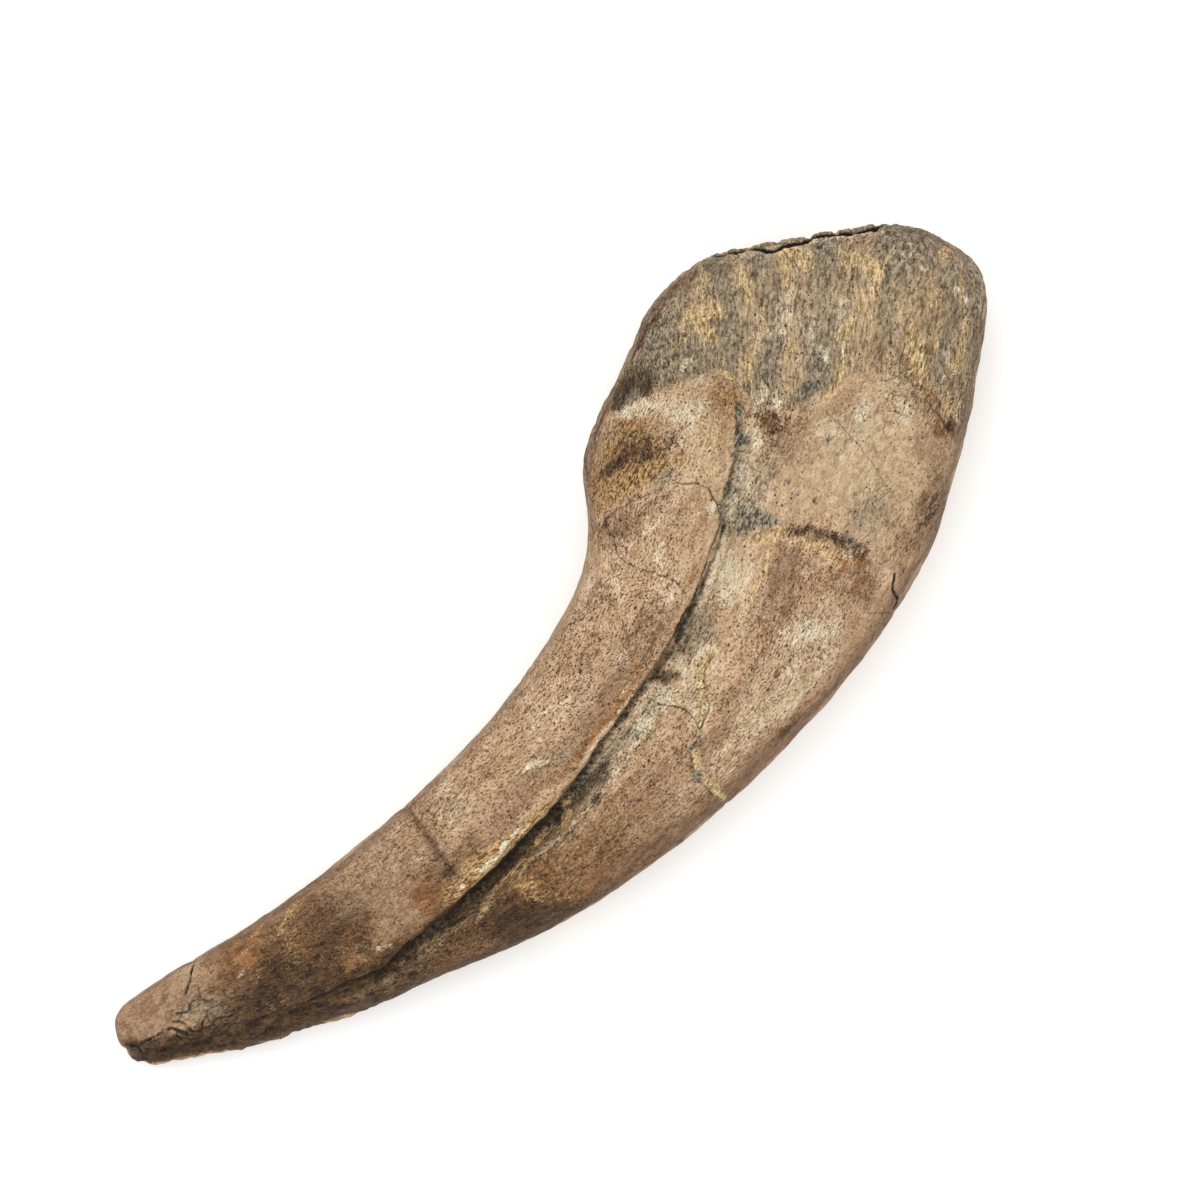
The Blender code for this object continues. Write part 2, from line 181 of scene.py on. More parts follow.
# Mineral stains from the lowest layer to the top one. Some of them also paint shade: the black under the
# groove's lip, the dark along the edges and the lower flank, and the shadow of the ledge step. Colours run
# from deep to pale, as the cloud named weave does. Edge names the cloud that crumbles the edge, breakUp
# says how strongly, grainy adds the fine grain to that and soft is how gradual the edge is. A patch is x,
# y, half length, half width, turn and strength, in mm and degrees. A strip is a line of points with its
# half width and strength. Below is how many patches the hidden flank gets.
stains = {
    "lightTan": {
        "deep": "#AE9270", "pale": "#CDB38F", "weave": "crumb", "edge": "mottle",
        "breakUp": 1, "grainy": 0.3, "soft": 0.5, "below": 12,
        "patches": (
            (62, -12, 14, 11, 0, 0.85), (70, -6, 7, 9, 0, 0.45), (44, 10, 6, 5, 30, 0.6),
            (28, -24, 12, 4, 2, 0.5), (28, 5, 8, 5, 10, 0.4), (72, 13, 11, 6, 30, 0.55),
            (84, 6, 8, 4, 30, 0.4), (-50, 0.5, 6, 2, -10, 0.5), (45, -4, 6, 5, 0, 0.6),
        ),
        "strips": (),
    },
    # dullBrown darkens the tip half as stain; its patches over the lower flank and its strips along the
    # edges also paint the shade of sides turning away from the light
    "dullBrown": {
        "deep": "#55391F", "pale": "#8B6A48", "weave": "crumb", "edge": "mottle",
        "breakUp": 1.6, "grainy": -0.9, "soft": 0.42, "below": 14,
        "patches": (
            (-86, 13, 9, 5, -35, 0.35), (-66, 13.5, 8, 3.6, -14, 0.75), (-78, 13, 6, 6, -20, 0.75),
            (-70, 11, 9, 8, -15, 0.97), (-61, 8, 9, 8, -15, 0.93), (-40, -2.6, 5, 2.4, -10, 0.85),
            (-34, -2, 4, 2, -8, 0.75), (-45, -4, 3, 2, 0, 0.9), (-53, -3.4, 5, 2, -15, 0.85),
            (-42, 1.4, 4, 2.6, -10, 0.55), (-56, -8, 6, 3, -22, 0.8), (-27, -5, 5, 1.6, -6, 0.5),
            (-36, 6, 3, 4, -8, 0.4), (-62, -3, 10, 4, -25, 0.95), (-74, 1.5, 8, 2.6, -30, 0.8),
            (-52, -9, 12, 4.5, -22, 0.95), (-38, -11, 10, 2.4, -8, 0.8), (-22, -12.4, 10, 1.6, 0, 0.55),
            (-44, -4.4, 8, 1.6, -12, 0.6), (-44, -13, 8, 5, -25, 0.95), (-36, -17, 7, 7, -20, 1),
            (-50, 5, 9, 5, -12, 0.45), (-26, -18, 9, 6, -10, 0.8), (-24, -25, 12, 2.8, -15, 1),
            (-10, -20, 12, 5, -5, 0.5), (-10, -28, 13, 2.6, -12, 0.9), (4, -30.5, 12, 2, -5, 0.75),
            (20, -32.3, 12, 1.5, 0, 0.8), (37, -31.8, 12, 1.3, 2, 0.55),
        ),
        "strips": (
            (((25, 20), (28, 23.8), (31, 26.3), (35, 28), (42, 29.6), (50, 31.6), (58, 33),
              (66, 32.8)), 1.2, 0.95),
            (((-100, 20), (-97, 16), (-90, 10.5), (-82, 5), (-74, 0), (-66, -5)), 3.2, 1),
            (((-35.4, 10.4), (-36.2, 8), (-36.8, 5), (-37.6, 2), (-38.6, -1), (-39.2, -3.4)), 0.6, 0.85),
            (((-66, -6.4), (-58, -11), (-50, -15), (-40, -20), (-30, -24), (-20, -27.2),
              (-10, -29.6)), 2.5, 0.95),
            (((-78, 19.6), (-70, 17.4), (-60, 14.9), (-50, 12.7), (-40, 11.3), (-30, 10.1)), 1.3, 0.55),
        ),
    },
    "mauveBrown": {
        "deep": "#71543D", "pale": "#9A7A5D", "weave": "mottle", "edge": "crumb",
        "breakUp": 1.5, "grainy": -1.8, "soft": 0.45, "below": 26,
        "patches": (
            (-92, 21.6, 9, 4, -18, 0.75), (-96, 23.4, 4, 3, 0, 0.4), (-62, 14, 10, 2.4, -14, 0.6),
            (0, -4.6, 13, 1.9, 3, 0.75), (14, -4.4, 7, 1.4, 10, 0.5), (-38.5, -0.5, 1.9, 4.4, -10, 0.7),
            (-37.4, 4, 0.9, 4, -8, 0.6), (14, -1.6, 5.4, 2.2, 8, 0.75), (16, -0.5, 6, 3.4, 20, 0.4),
            (26.5, 12.8, 4, 2.6, -10, 0.8), (23, 14.5, 3.4, 1.8, 10, 0.65), (31, 10.7, 3.4, 1.2, -25, 0.5),
            (34, 11, 2.4, 1.1, -25, 0.7), (33.5, -16, 8, 4, 10, 0.7), (38.5, -13.5, 4, 2.8, 10, 0.75),
            (29, -18.5, 7, 2, 8, 0.55), (43, -22.5, 3.6, 3.4, -30, 0.7), (47, -23, 2.4, 3.4, 0, 0.65),
            (43, -27.3, 3, 1, 10, 0.55), (26.3, -9, 1.1, 2, 10, 0.8), (60, -24.6, 8, 1, 8, 0.5),
            (66, -22.6, 6, 1, 20, 0.4), (70, -20.5, 5, 1.2, 30, 0.45), (57, -27, 7, 1.4, 8, 0.55),
            (74, -15, 1.8, 5, 5, 0.6), (72.5, -10, 2, 4, 0, 0.35), (50, -30.5, 8, 1.1, 8, 0.6),
            (37, 20, 5.5, 4.8, 0, 0.6), (40, 16.5, 4.5, 3.4, 0, 0.5), (53, 13.5, 3.4, 3, 20, 0.35),
            (31, 24, 4.8, 2.4, 30, 0.75), (37, 25.5, 3, 2, 10, 0.6), (54, 4.5, 3.4, 3.8, 0, 0.75),
            (56, 0.5, 6, 2.4, 8, 0.6), (56, -3, 4, 1.5, 0, 0.4), (10, 8.5, 14, 1.6, 12, 0.5),
            (-20, 8.6, 16, 1, -2, 0.45), (-55, 13.6, 14, 1, -14, 0.6), (-73, 18.6, 8, 1.2, -17, 0.6),
            (-5, -5.5, 14, 1.6, 2, 0.45), (88, -16, 12, 1.5, 31, 0.3), (94, -11, 6, 1.4, 35, 0.5),
            (80, -16, 6, 2, 30, 0.5), (76, -3, 3, 4, 0, 0.4), (90, 13, 8, 2, -45, 0.4),
            (68, 31, 6, 1, -15, 0.5), (-32, 7, 4, 3, -5, 0.4), (2, 2, 5, 2, 0, 0.3), (24, 3, 2, 4, 0, 0.3),
            (0, -26, 14, 4, -4, 0.4), (25, -26, 10, 3, 0, 0.25), (46, -26, 6, 3, 0, 0.3),
            (4, -17, 12, 2, 0, 0.3), (-2, -19.6, 9, 1.2, -2, 0.5), (14, -20.5, 8, 0.9, 5, 0.45),
            (20, -24, 6, 0.6, 4, 0.4), (12, -29, 9, 1, 2, 0.4), (-18, -25, 16, 2.4, -12, 0.4),
            (34, -26, 6, 3, 0, 0.3),
        ),
        # these strips darken the lower edge, partly as stain and partly as painted shade of the edge
        # turning away from the light
        "strips": (
            (((-10, -29.8), (0, -31.4), (20, -33.3), (40, -33.1), (50, -31.6)), 2, 0.85),
            (((54, -31.4), (64, -27.6), (72, -24), (78, -21)), 1.9, 0.85),
            (((78, -21), (90, -14.2), (97, -9)), 1.5, 0.45),
        ),
    },
    "rosyTan": {
        "deep": "#836349", "pale": "#A88A6C", "weave": "crumb", "edge": "mottle",
        "breakUp": 1.2, "grainy": -0.8, "soft": 0.5, "below": 12,
        "patches": (
            (-91, 21.5, 8, 3.6, -18, 1), (-84, 19, 5, 2, -18, 0.7), (-49, 9, 9, 4, -12, 0.55),
            (-49, -0.6, 5, 2.4, -14, 0.9), (-52, -1.5, 3, 2, 0, 0.6), (-22, -3.6, 11, 3, -4, 0.8),
            (-10, -4, 9, 2.6, 0, 0.6), (4, -3.4, 7, 2.4, 4, 0.4), (66, -4, 6, 4, 0, 0.45),
            (-44, 6, 10, 4, -12, 0.4), (36, -14, 6, 3, 12, 0.4), (-57, -9, 7, 1.8, -25, 0.6),
            (75, 15, 5, 1.6, 28, 0.6), (31, -31, 14, 1.4, 2, 0.4), (70, -18, 4, 3, 20, 0.5),
            (88, -6, 6, 2, 32, 0.4), (33, 6, 4, 2, 0, 0.4), (-94, 16.4, 2.4, 1, -20, 0.7),
        ),
        "strips": (),
    },
    "duskyGrey": {
        "deep": "#665A47", "pale": "#A29077", "weave": "crumb", "edge": "streak",
        "breakUp": 1.5, "grainy": -0.9, "soft": 0.4, "below": 16,
        "patches": (
            (-85, 14, 4, 3.4, -40, 0.5), (-79, 11.5, 3, 2.5, 0, 0.3), (-88, 17, 3, 1.2, -20, 0.25),
            (-57, 6.5, 5, 1.6, -14, 0.4), (-46, 6, 6, 2, -14, 0.4), (-30, 3, 3, 2.4, 0, 0.55),
            (-12.5, -4, 3.4, 1.1, -25, 0.55), (0, -0.8, 2.6, 1, 0, 0.5), (-6, -11.5, 9, 1.6, 0, 0.8),
            (-18, -12, 8, 1.2, 0, 0.6), (4, -11, 6, 1.6, 5, 0.5), (19, -9.5, 4, 2, 20, 0.7),
            (22, -6.6, 4, 1.2, 22, 0.7), (30, -4.5, 6, 0.6, 22, 0.5), (54, 24.5, 5, 4.5, 25, 0.6),
            (57, 29, 6, 2.4, 15, 0.65), (50, 27, 4, 2, 20, 0.7), (44, 27, 4, 2, 10, 0.9),
            (37, 12.4, 3.4, 1.1, -15, 0.75), (48, 0.5, 5, 2.6, 10, 0.55), (55, -19.5, 5, 4, 10, 0.55),
            (52, -16, 3, 2, 0, 0.3), (62, 10.5, 4, 2, 32, 0.65), (64, 12.5, 4, 1.6, 35, 0.5),
            (60.5, 18, 5, 1.2, 42, 0.9), (58, 21, 2.4, 1.4, 40, 0.7), (68, 28, 3, 3.6, 30, 0.75),
            (70.5, 30, 3, 1.2, -20, 0.6), (67, 23, 4, 2, 45, 0.55), (63, 19.5, 4, 1.8, 40, 0.5),
            (60, 24, 3, 3, 0, 0.4), (75, 27, 3, 2, 0, 0.5), (72, 17, 5, 1.5, 30, 0.25),
            (76, -22, 6, 1.5, 28, 0.5), (84, 19, 4, 1.4, -30, 0.5), (76, 24.3, 3.2, 2, 20, 0.85),
            (71, 19.5, 4, 1.4, 35, 0.6), (76, 12.5, 8, 1.4, 28, 0.45), (84, 15.5, 4, 1.8, 20, 0.75),
            (73, 10.5, 4, 1.6, 28, 0.45), (69, 6, 3, 2.6, 20, 0.6), (64, 3.8, 3.2, 1.6, -10, 0.85),
            (93, 9, 4, 3, 20, 0.85), (95, -3, 4, 5, 30, 0.6), (90, -8, 8, 2, 34, 0.5),
            (74, 7, 7, 2, 28, 0.6), (54, 21, 5, 3, 40, 0.4), (66, 13.4, 7, 2, 34, 0.4),
            (90, 4.5, 4, 3, 25, 0.75), (96, 4.5, 2.6, 3.4, 0, 0.75), (84, 3.5, 4, 1, 25, 0.6),
            (82, 0.8, 5, 0.9, 25, 0.55), (91, -3, 6, 0.9, 30, 0.4), (83, -10.3, 4, 1.1, 28, 0.6),
            (79, -13, 3.4, 1.4, 30, 0.5), (95, -8, 4, 1.4, 38, 0.6), (88, -13.5, 7, 1.1, 30, 0.45),
            (91, -11, 5, 0.8, 32, 0.4), (76, -7.5, 1.4, 3, -10, 0.5), (34, -22, 3, 3, -40, 0.3),
            (12, -23, 8, 2, 6, 0.3), (20, -20, 6, 1.2, 10, 0.3),
        ),
        "strips": (),
    },
    "rust": {
        "deep": "#704B2B", "pale": "#9C6F44", "weave": "mottle", "edge": "crumb",
        "breakUp": 1.5, "grainy": -0.9, "soft": 0.4, "below": 14,
        "patches": (
            (39.3, 22.6, 1.8, 2.2, 20, 1), (35, 21, 4.5, 2, 10, 0.85), (32, 19.5, 6, 3.4, -5, 0.75),
            (37, 17, 4, 2.6, 0, 0.5), (38, 16.5, 3, 2.4, 0, 0.5), (52.5, 14.5, 3, 3, 0, 0.6),
            (50, 11, 3, 1, 30, 0.4), (-44.6, -1.8, 1.6, 2, 0, 1), (-46.5, -3.4, 1.4, 1, 0, 0.6),
            (-42.6, -3.8, 1, 1.2, 0, 0.7), (8.4, -4.1, 1.3, 0.45, 55, 1), (-72, 16.4, 5, 1.6, -15, 0.7),
            (-67, 9, 4, 3, 0, 0.75), (-73, 14.4, 4, 1.4, -10, 0.75), (-64, 6, 3, 2, 0, 0.6),
            (-59, 3.4, 3, 2, -10, 0.6), (-62, -0.6, 4, 1.2, -20, 0.7), (-76, 8, 2, 2, 0, 0.5),
            (-62, 2, 5, 3, -20, 0.35), (-60, 13, 3, 2, -15, 0.4), (-58, -7.5, 8, 1.2, -22, 0.7),
            (-48, -10.5, 6, 1.6, -20, 0.5), (-2, -6.3, 13, 1, 3, 0.8), (-22, -5, 8, 1.4, -6, 0.4),
            (-33, -15, 2, 3.4, -10, 0.6), (-29.5, -17, 1.2, 4, 0, 0.75), (-26, -21, 5, 2, -10, 0.35),
            (-17, -17, 8, 1, 0, 0.55), (-10, -16, 5, 0.8, -5, 0.65), (-8, -20.5, 6, 1, -4, 0.4),
            (-20, -23, 8, 1.2, -10, 0.35), (2, -16.5, 6, 0.8, 0, 0.35), (-2, 8.4, 10, 0.6, 4, 0.3),
            (45, -20.2, 1.2, 1.7, 0, 0.9), (47.6, -21.5, 1.4, 2, 0, 0.7), (44.5, -24.5, 1.6, 1.2, 0, 0.5),
            (70, -9.2, 1.3, 1, 0, 0.5), (66, -1.6, 4, 1.6, 10, 0.4), (75.8, -13.5, 1, 3, 0, 0.6),
            (76.5, -9.5, 0.8, 2, 10, 0.6), (74, -18, 1.6, 2, 20, 0.7), (20, -30.3, 8, 1.2, 3, 0.4),
            (54.5, 5.5, 1.8, 1.8, 0, 0.6), (28.6, 4.5, 2, 3, 0, 0.35), (33.5, 3, 4, 0.8, 25, 0.4),
            (27, -1.8, 5, 0.7, 15, 0.5), (18, -19.5, 3, 0.6, 5, 0.6), (24, -18.5, 4, 0.6, 8, 0.5),
            (-34, 4, 3, 3.4, 0, 0.25),
        ),
        "strips": (),
    },
    "cream": {
        "deep": "#BAA482", "pale": "#D5C5A9", "weave": "mottle", "edge": "crumb",
        "breakUp": 1.5, "grainy": 1.6, "soft": 0.4, "below": 16,
        "patches": (
            (42.6, 24, 2.8, 1.4, -35, 0.45), (45, 21.6, 3, 1.8, -50, 0.45), (47.6, 19.2, 3, 2.2, -50, 0.55),
            (47, 16.4, 2.4, 2.2, 0, 0.5), (41, 25, 1.4, 0.9, 0, 0.9), (49.5, 16.5, 3, 1, -40, 0.5),
            (44, 13.5, 4, 2.5, 0, 0.4), (31, -6, 4.5, 2, 22, 1), (29.5, -9, 3, 1.8, 20, 0.9),
            (33.5, -2.6, 3.4, 0.9, 25, 0.8), (25, -5.6, 1.8, 0.7, 20, 0.9), (35, -8, 2.4, 1.2, 20, 0.5),
            (7.5, -11, 2.4, 1.8, 0, 1), (2, -11.4, 3.4, 1.2, 6, 0.95), (13.6, -10.2, 1.5, 1.7, 0, 0.95),
            (3.5, -9.3, 3, 0.6, 5, 0.7), (-4.5, -12.2, 3, 0.7, 4, 0.6), (16, -12, 3, 1, 20, 0.6),
            (65.6, -8, 3, 2, -25, 0.85), (61.3, -3, 1.9, 1.4, 0, 0.85), (67.5, -5, 2, 2, 0, 0.5),
            (70.6, -11.6, 1.1, 2.4, -25, 0.8), (69, -14.4, 0.8, 0.8, 0, 0.9), (72, -7, 1.5, 3, 0, 0.3),
            (32.3, -22.5, 2.8, 2.4, -20, 0.85), (35.5, -25.5, 3, 1.4, 20, 0.5), (22, -26.5, 8, 2, 4, 0.5),
            (10, -26, 7, 2.2, 0, 0.4), (26, -29, 8, 0.8, 2, 0.4), (12, -12.8, 4, 0.8, 20, 0.5),
            (26, -12.7, 4, 0.5, 12, 0.5), (24, -15, 6, 0.5, 10, 0.5), (-15, -2.3, 2, 0.6, -32, 0.8),
            (-7, 2.6, 3, 0.35, -32, 0.75), (-17.5, -1.2, 1.4, 0.5, -30, 0.6), (-3, 1, 1.4, 0.4, -20, 0.7),
            (-32.5, 5.2, 1.8, 0.7, 0, 0.4), (-29, 7.5, 2.6, 0.35, -5, 0.4), (-56.4, -2, 1.3, 0.8, -10, 0.5),
            (-51, -8.6, 3, 0.5, -20, 0.7), (-75.8, 13.7, 1.6, 0.3, 10, 0.5), (-74, 11.6, 1.6, 0.5, 10, 0.3),
            (-74.6, 0.2, 1.6, 0.5, -35, 0.7), (-41, 3.2, 2, 0.8, 0, 0.3), (-38.6, 8.6, 3, 0.5, -12, 0.4),
            (25.6, 4.9, 2.1, 0.8, 8, 0.8), (21.4, -1.2, 1.2, 0.5, 10, 0.9), (29, 8.6, 3, 0.7, 0, 0.5),
            (35.5, 5, 1.6, 1, 30, 0.5), (37.9, 2.6, 1, 1.1, -40, 1), (47, 3.2, 4, 1.6, 25, 0.75),
            (51, 5.6, 3, 1.4, 30, 0.7), (43.6, 0.6, 2, 1.6, 20, 0.5), (57.6, 8.7, 2.6, 0.8, 10, 0.9),
            (59.5, 6.5, 2, 0.8, 20, 0.6), (70, 14, 3, 2.4, 30, 0.5), (75, 16, 5, 1.2, 28, 0.55),
            (71, 8.4, 3, 0.9, 35, 0.7), (70, 4.7, 2, 0.9, 30, 0.7), (66, 16.5, 4, 1, 42, 0.4),
            (79, 8.4, 5, 0.9, 30, 0.4), (83.6, -11.6, 3, 0.6, 28, 0.5), (96, -9.3, 3.5, 0.7, 38, 0.7),
            (98, -5, 0.9, 2.6, -10, 0.6), (78.5, -17.7, 3, 0.8, 30, 0.4), (53.5, 22.5, 1.6, 0.6, 0, 0.6),
            (52.5, 19, 1.4, 0.6, -30, 0.5), (87.6, 20, 3, 0.5, -42, 0.3), (92, 5, 2, 2, 0, 0.4),
        ),
        "strips": (
            (((-30, -11.8), (-24, -12.9), (-18, -13.6), (-12, -13.9), (-4, -13.3), (3, -13)), 0.5, 0.5),
            (((18.6, -12.4), (16, -13), (13.6, -14.3), (12, -16), (11, -17.6), (8.6, -18.6)), 1.2, 0.95),
            (((4.4, -21.2), (3, -22.6), (1.8, -24.2), (1.4, -26), (1.1, -27.6), (0.8, -30.4)), 0.5, 0.85),
            (((74, 28.4), (78, 24.4), (81.6, 21.4), (85.4, 19.2), (89, 15.6), (93, 12)), 0.9, 0.5),
        ),
    },
    # black under the groove's lip: painted shadow, with some dirt
    "grooveShadeAndDirt": {
        "deep": "#1C140B", "pale": "#4A3B25", "weave": "flecks", "edge": "streak",
        "breakUp": 1.5, "grainy": -0.8, "soft": 0.45, "below": 4,
        "patches": (
            (-34, -9.8, 12, 1.4, -2, 0.8), (-40, -15, 3.4, 3, -25, 0.6), (-37, -18, 3, 2.4, -25, 0.5),
            (-20, -11.4, 11, 1.5, 0, 0.5), (-55, -6.6, 8, 1.5, -12, 0.5), (-66, -2.6, 6, 1.2, -24, 0.5),
            (-26, -10.2, 10, 1.1, -1, 0.75), (-37, -9.2, 8, 1.2, -5, 0.75), (-2, -8.6, 11, 0.55, 4, 0.7),
            (-44, -7.4, 8, 1.6, -12, 0.6), (-52, -6.8, 6, 1.2, -12, 0.6), (-20, -10.2, 8, 1.2, 1, 0.75),
            (-13, -11.8, 6, 1.2, 2, 0.55), (-47, -7.6, 6, 1.2, -14, 0.7), (-44, -9.6, 4, 0.9, -10, 0.6),
            (-57, -4.6, 5, 0.7, -10, 0.9), (10.8, -9.4, 1.1, 1.6, 10, 0.85), (12.2, -10.8, 1, 0.9, 0, 0.6),
            (17.4, -7.9, 2.2, 1, 25, 0.9), (14.4, -8.3, 1.3, 0.8, 10, 0.6),
            (20.6, -6.3, 2.6, 0.6, 25, 0.75), (16.2, -10.6, 0.9, 0.7, 0, 0.5),
            (-9, -12.9, 2.4, 0.5, 5, 0.6), (-13.6, -13.9, 1.4, 0.5, 0, 0.6),
        ),
        "strips": (),
    },
    "ochre": {
        "deep": "#96774D", "pale": "#D8BC8C", "weave": "dash", "edge": "streak",
        "breakUp": 1.6, "grainy": 1.8, "soft": 0.35, "below": 20,
        "patches": (
            (41, 12, 4, 2, 0, 0.35), (45, 9.6, 6, 2, 30, 0.4), (56.8, 15.6, 0.9, 2, 10, 0.85),
            (-37, -6.3, 4, 0.8, -9, 1), (-31, -7, 5, 0.6, -8, 1), (-34, -5, 4, 0.5, -8, 0.8),
            (-28, -7.4, 3, 0.35, -6, 0.7), (-40, -5.4, 1.6, 0.35, -8, 0.6), (-65, 13.8, 2, 0.4, 14, 0.6),
            (-67.4, 9.8, 0.9, 0.4, 20, 0.6), (50.6, 20.4, 3, 0.8, -40, 0.6), (53, 17, 1.6, 0.7, -20, 0.6),
            (47.6, 14.6, 3, 1, 20, 0.4), (39.4, -6.4, 1.9, 1, 10, 1), (41.9, -8.4, 1.9, 0.8, -15, 1),
            (37.4, -5.7, 0.9, 0.6, 0, 0.9), (37.6, -9, 2, 0.5, 30, 0.5), (43, -13.5, 1.1, 4, 14, 0.7),
            (44.3, -18, 0.9, 2.4, 10, 0.6), (50, 5.6, 4, 0.5, 28, 0.7), (46, 3.9, 2.4, 0.4, 25, 0.7),
            (40.5, 1.6, 1.4, 0.8, 20, 0.8), (42, -1, 1, 1, 0, 0.7), (30, -12, 7, 0.35, 14, 0.65),
            (34, -10.3, 5, 0.35, 16, 0.65), (24, -14.4, 7, 0.3, 10, 0.5), (28, -16, 6, 0.3, 8, 0.4),
            (13.2, -15, 1.9, 1.5, 40, 1), (11.4, -17.2, 1.1, 1, 0, 0.9), (5, 9.4, 5, 0.4, 6, 0.4),
            (8, -26.5, 8, 1, 2, 0.3), (24, -27.6, 6, 0.7, 3, 0.4), (3, -5.6, 4, 0.3, 2, 0.5),
            (63.4, 26, 3.2, 2.8, 36, 0.85), (61, 22.3, 2.4, 1.6, 30, 0.8), (66, 29.4, 2.2, 1.1, 25, 0.6),
            (57.4, 25, 1.6, 0.9, 20, 0.6), (59.6, 27.6, 2, 0.7, 30, 0.6), (65, 24, 1.6, 1, 60, 0.6),
            (72, 25.2, 2, 1.4, 50, 0.85), (69.6, 22, 1.8, 1.1, 40, 0.65), (74.4, 28.4, 2, 0.7, 20, 0.5),
            (74, 21.4, 2, 0.6, 30, 0.5), (79.4, 20.2, 2.8, 1.4, 20, 0.85), (80.6, 17.4, 2.2, 1.3, 25, 0.75),
            (76, 18.4, 2.4, 0.8, 30, 0.65), (62.4, 15.4, 2.8, 1.3, 36, 0.65),
            (60, 13.4, 1.8, 0.9, 30, 0.55), (66.4, 10, 2, 0.8, 20, 0.85), (68, 17.5, 3, 0.7, 40, 0.5),
            (86.3, 8.6, 1.7, 2.8, -10, 1), (84.8, 12, 2.6, 1.3, 15, 0.85), (84, 5.6, 1.8, 1, 40, 0.8),
            (76.4, 5.2, 2.6, 1.4, 20, 0.6), (70.4, 1.6, 4, 1.2, 15, 0.8), (66.2, 0.6, 2, 0.8, 10, 1),
            (73.4, -1.4, 2.6, 0.6, 10, 0.6), (80, 6, 4, 1, 30, 0.45), (80, 3, 3, 0.6, 25, 0.4),
            (84.4, 2, 3, 0.6, 30, 0.4), (97, 0.9, 1.8, 1, 25, 0.9), (90.6, -2, 3.4, 0.7, 30, 0.5),
            (90.4, -3.4, 1.4, 0.6, 20, 0.7), (80.4, -5.6, 3.8, 1.7, 36, 0.95),
            (82.4, -3.3, 3, 0.9, 30, 0.8), (79, -9.4, 3, 1.3, 35, 0.9), (86, -7, 5, 0.6, 32, 0.4),
            (84.4, -13, 3, 0.7, 20, 0.85), (77.2, -16.4, 1.9, 1.1, 30, 0.85), (94, -6, 3.4, 0.5, 35, 0.65),
            (91, -9.6, 4, 0.5, 35, 0.4), (76.4, -12.6, 1, 1, 0, 0.5), (59, 3.8, 2.4, 0.8, 10, 0.6),
            (92, 12.4, 1.6, 0.5, -10, 0.5), (91.4, 7.4, 1, 0.3, 30, 0.6), (75, 13, 4, 0.5, 28, 0.3),
            (79, 11, 5, 0.5, 28, 0.4),
        ),
        "strips": (
            (((18.6, -12.6), (16, -13.2), (13.6, -14.5), (12, -16.2), (11, -17.8),
              (8.6, -18.8)), 0.8, 0.95),
            (((4.4, -21.4), (3, -22.6), (1.8, -24), (1.2, -27), (0.9, -30.4)), 0.6, 0.9),
        ),
    },
    "gold": {
        "deep": "#694B2B", "pale": "#C59F69", "weave": "dash", "edge": "crumb",
        "breakUp": 1.4, "grainy": 0.75, "soft": 0.38, "below": 14,
        "patches": (
            (-37.5, -5.7, 4.4, 1.3, -10, 1), (-35, -4.4, 3, 0.9, -8, 0.8), (-31, -6.4, 5, 1.3, -10, 1),
            (-25, -7.6, 4, 0.8, -6, 1), (-20.5, -8.2, 3, 0.4, 0, 0.9), (-41, -5, 2.4, 0.9, -12, 0.8),
            (-19.4, -12.1, 2.3, 0.7, 2, 1), (-40, -11.4, 2.8, 0.8, 8, 1),
            (-16.4, -10.4, 1.8, 0.7, 10, 0.95), (-25, -10.8, 3, 0.4, -3, 0.8),
            (-34, -10.6, 5, 0.5, -3, 0.8), (-30, -12, 4, 0.6, -3, 0.7), (-45, -10, 3, 0.4, -12, 0.6),
            (-36.5, -12.6, 2.4, 0.7, 0, 0.7), (-50, -8.2, 3, 0.6, -20, 0.6),
            (-32.6, -16, 1.3, 4, -10, 0.75), (-30, -20.5, 2, 2, 0, 0.6), (-25, -14, 6, 0.7, -3, 0.6),
            (-65, 13.6, 4, 1, 6, 0.65), (-60.6, 14.2, 2, 0.6, -5, 0.7), (-72.5, 15.6, 4, 0.6, -8, 0.45),
            (-69, 16.4, 4, 0.6, -16, 0.4), (-67.4, 9.8, 1.6, 1, 20, 0.75), (-64, 11.6, 3, 0.7, 0, 0.5),
            (-68.2, 7.4, 0.6, 1.9, 0, 0.7), (-76, 5.6, 2.6, 1.2, -35, 0.85), (-74.6, 8.6, 1.6, 0.8, 0, 0.7),
            (-71, 7.6, 3, 1, 0, 0.7), (-66, 4.5, 4, 1.4, -10, 0.5), (-71.5, 4, 3, 1.6, -20, 0.6),
            (-78, 3.6, 3, 0.8, -38, 0.6), (-72, 12, 4, 0.8, -10, 0.5), (-81, 8.8, 2.2, 0.9, -30, 0.5),
            (-60, -1, 4, 0.9, -20, 0.5), (-53, -1.4, 5, 1.4, -10, 0.35), (-86, 8, 2, 0.6, -35, 0.35),
            (-58, -8.4, 5, 0.8, -25, 0.5), (-50, -11, 5, 1, -22, 0.5), (29.5, 17.8, 5, 2.2, -15, 0.75),
            (36, 15.4, 4.4, 2, -20, 0.75), (34, 22.6, 5, 2.2, 12, 0.65), (26, 19.4, 2.4, 1.1, 30, 0.6),
            (39, 19.5, 3, 4, 0, 0.6), (40.5, 12.8, 1.8, 1, -30, 0.5), (53, 13.6, 3, 2.4, 30, 0.45),
            (48.5, 9.4, 5, 1, 32, 0.4), (56, 25.4, 2.4, 1, 25, 0.4), (44.6, -14, 1.4, 3.6, 14, 0.5),
            (54.6, 5.6, 2, 2.4, 0, 0.5), (78.6, -6.4, 2.6, 1, 36, 0.5), (-8, -16.4, 7, 0.5, -2, 0.45),
            (-16, -19, 8, 0.6, -4, 0.4), (-24, -16.5, 5, 0.5, -4, 0.4),
        ),
        "strips": (),
    },
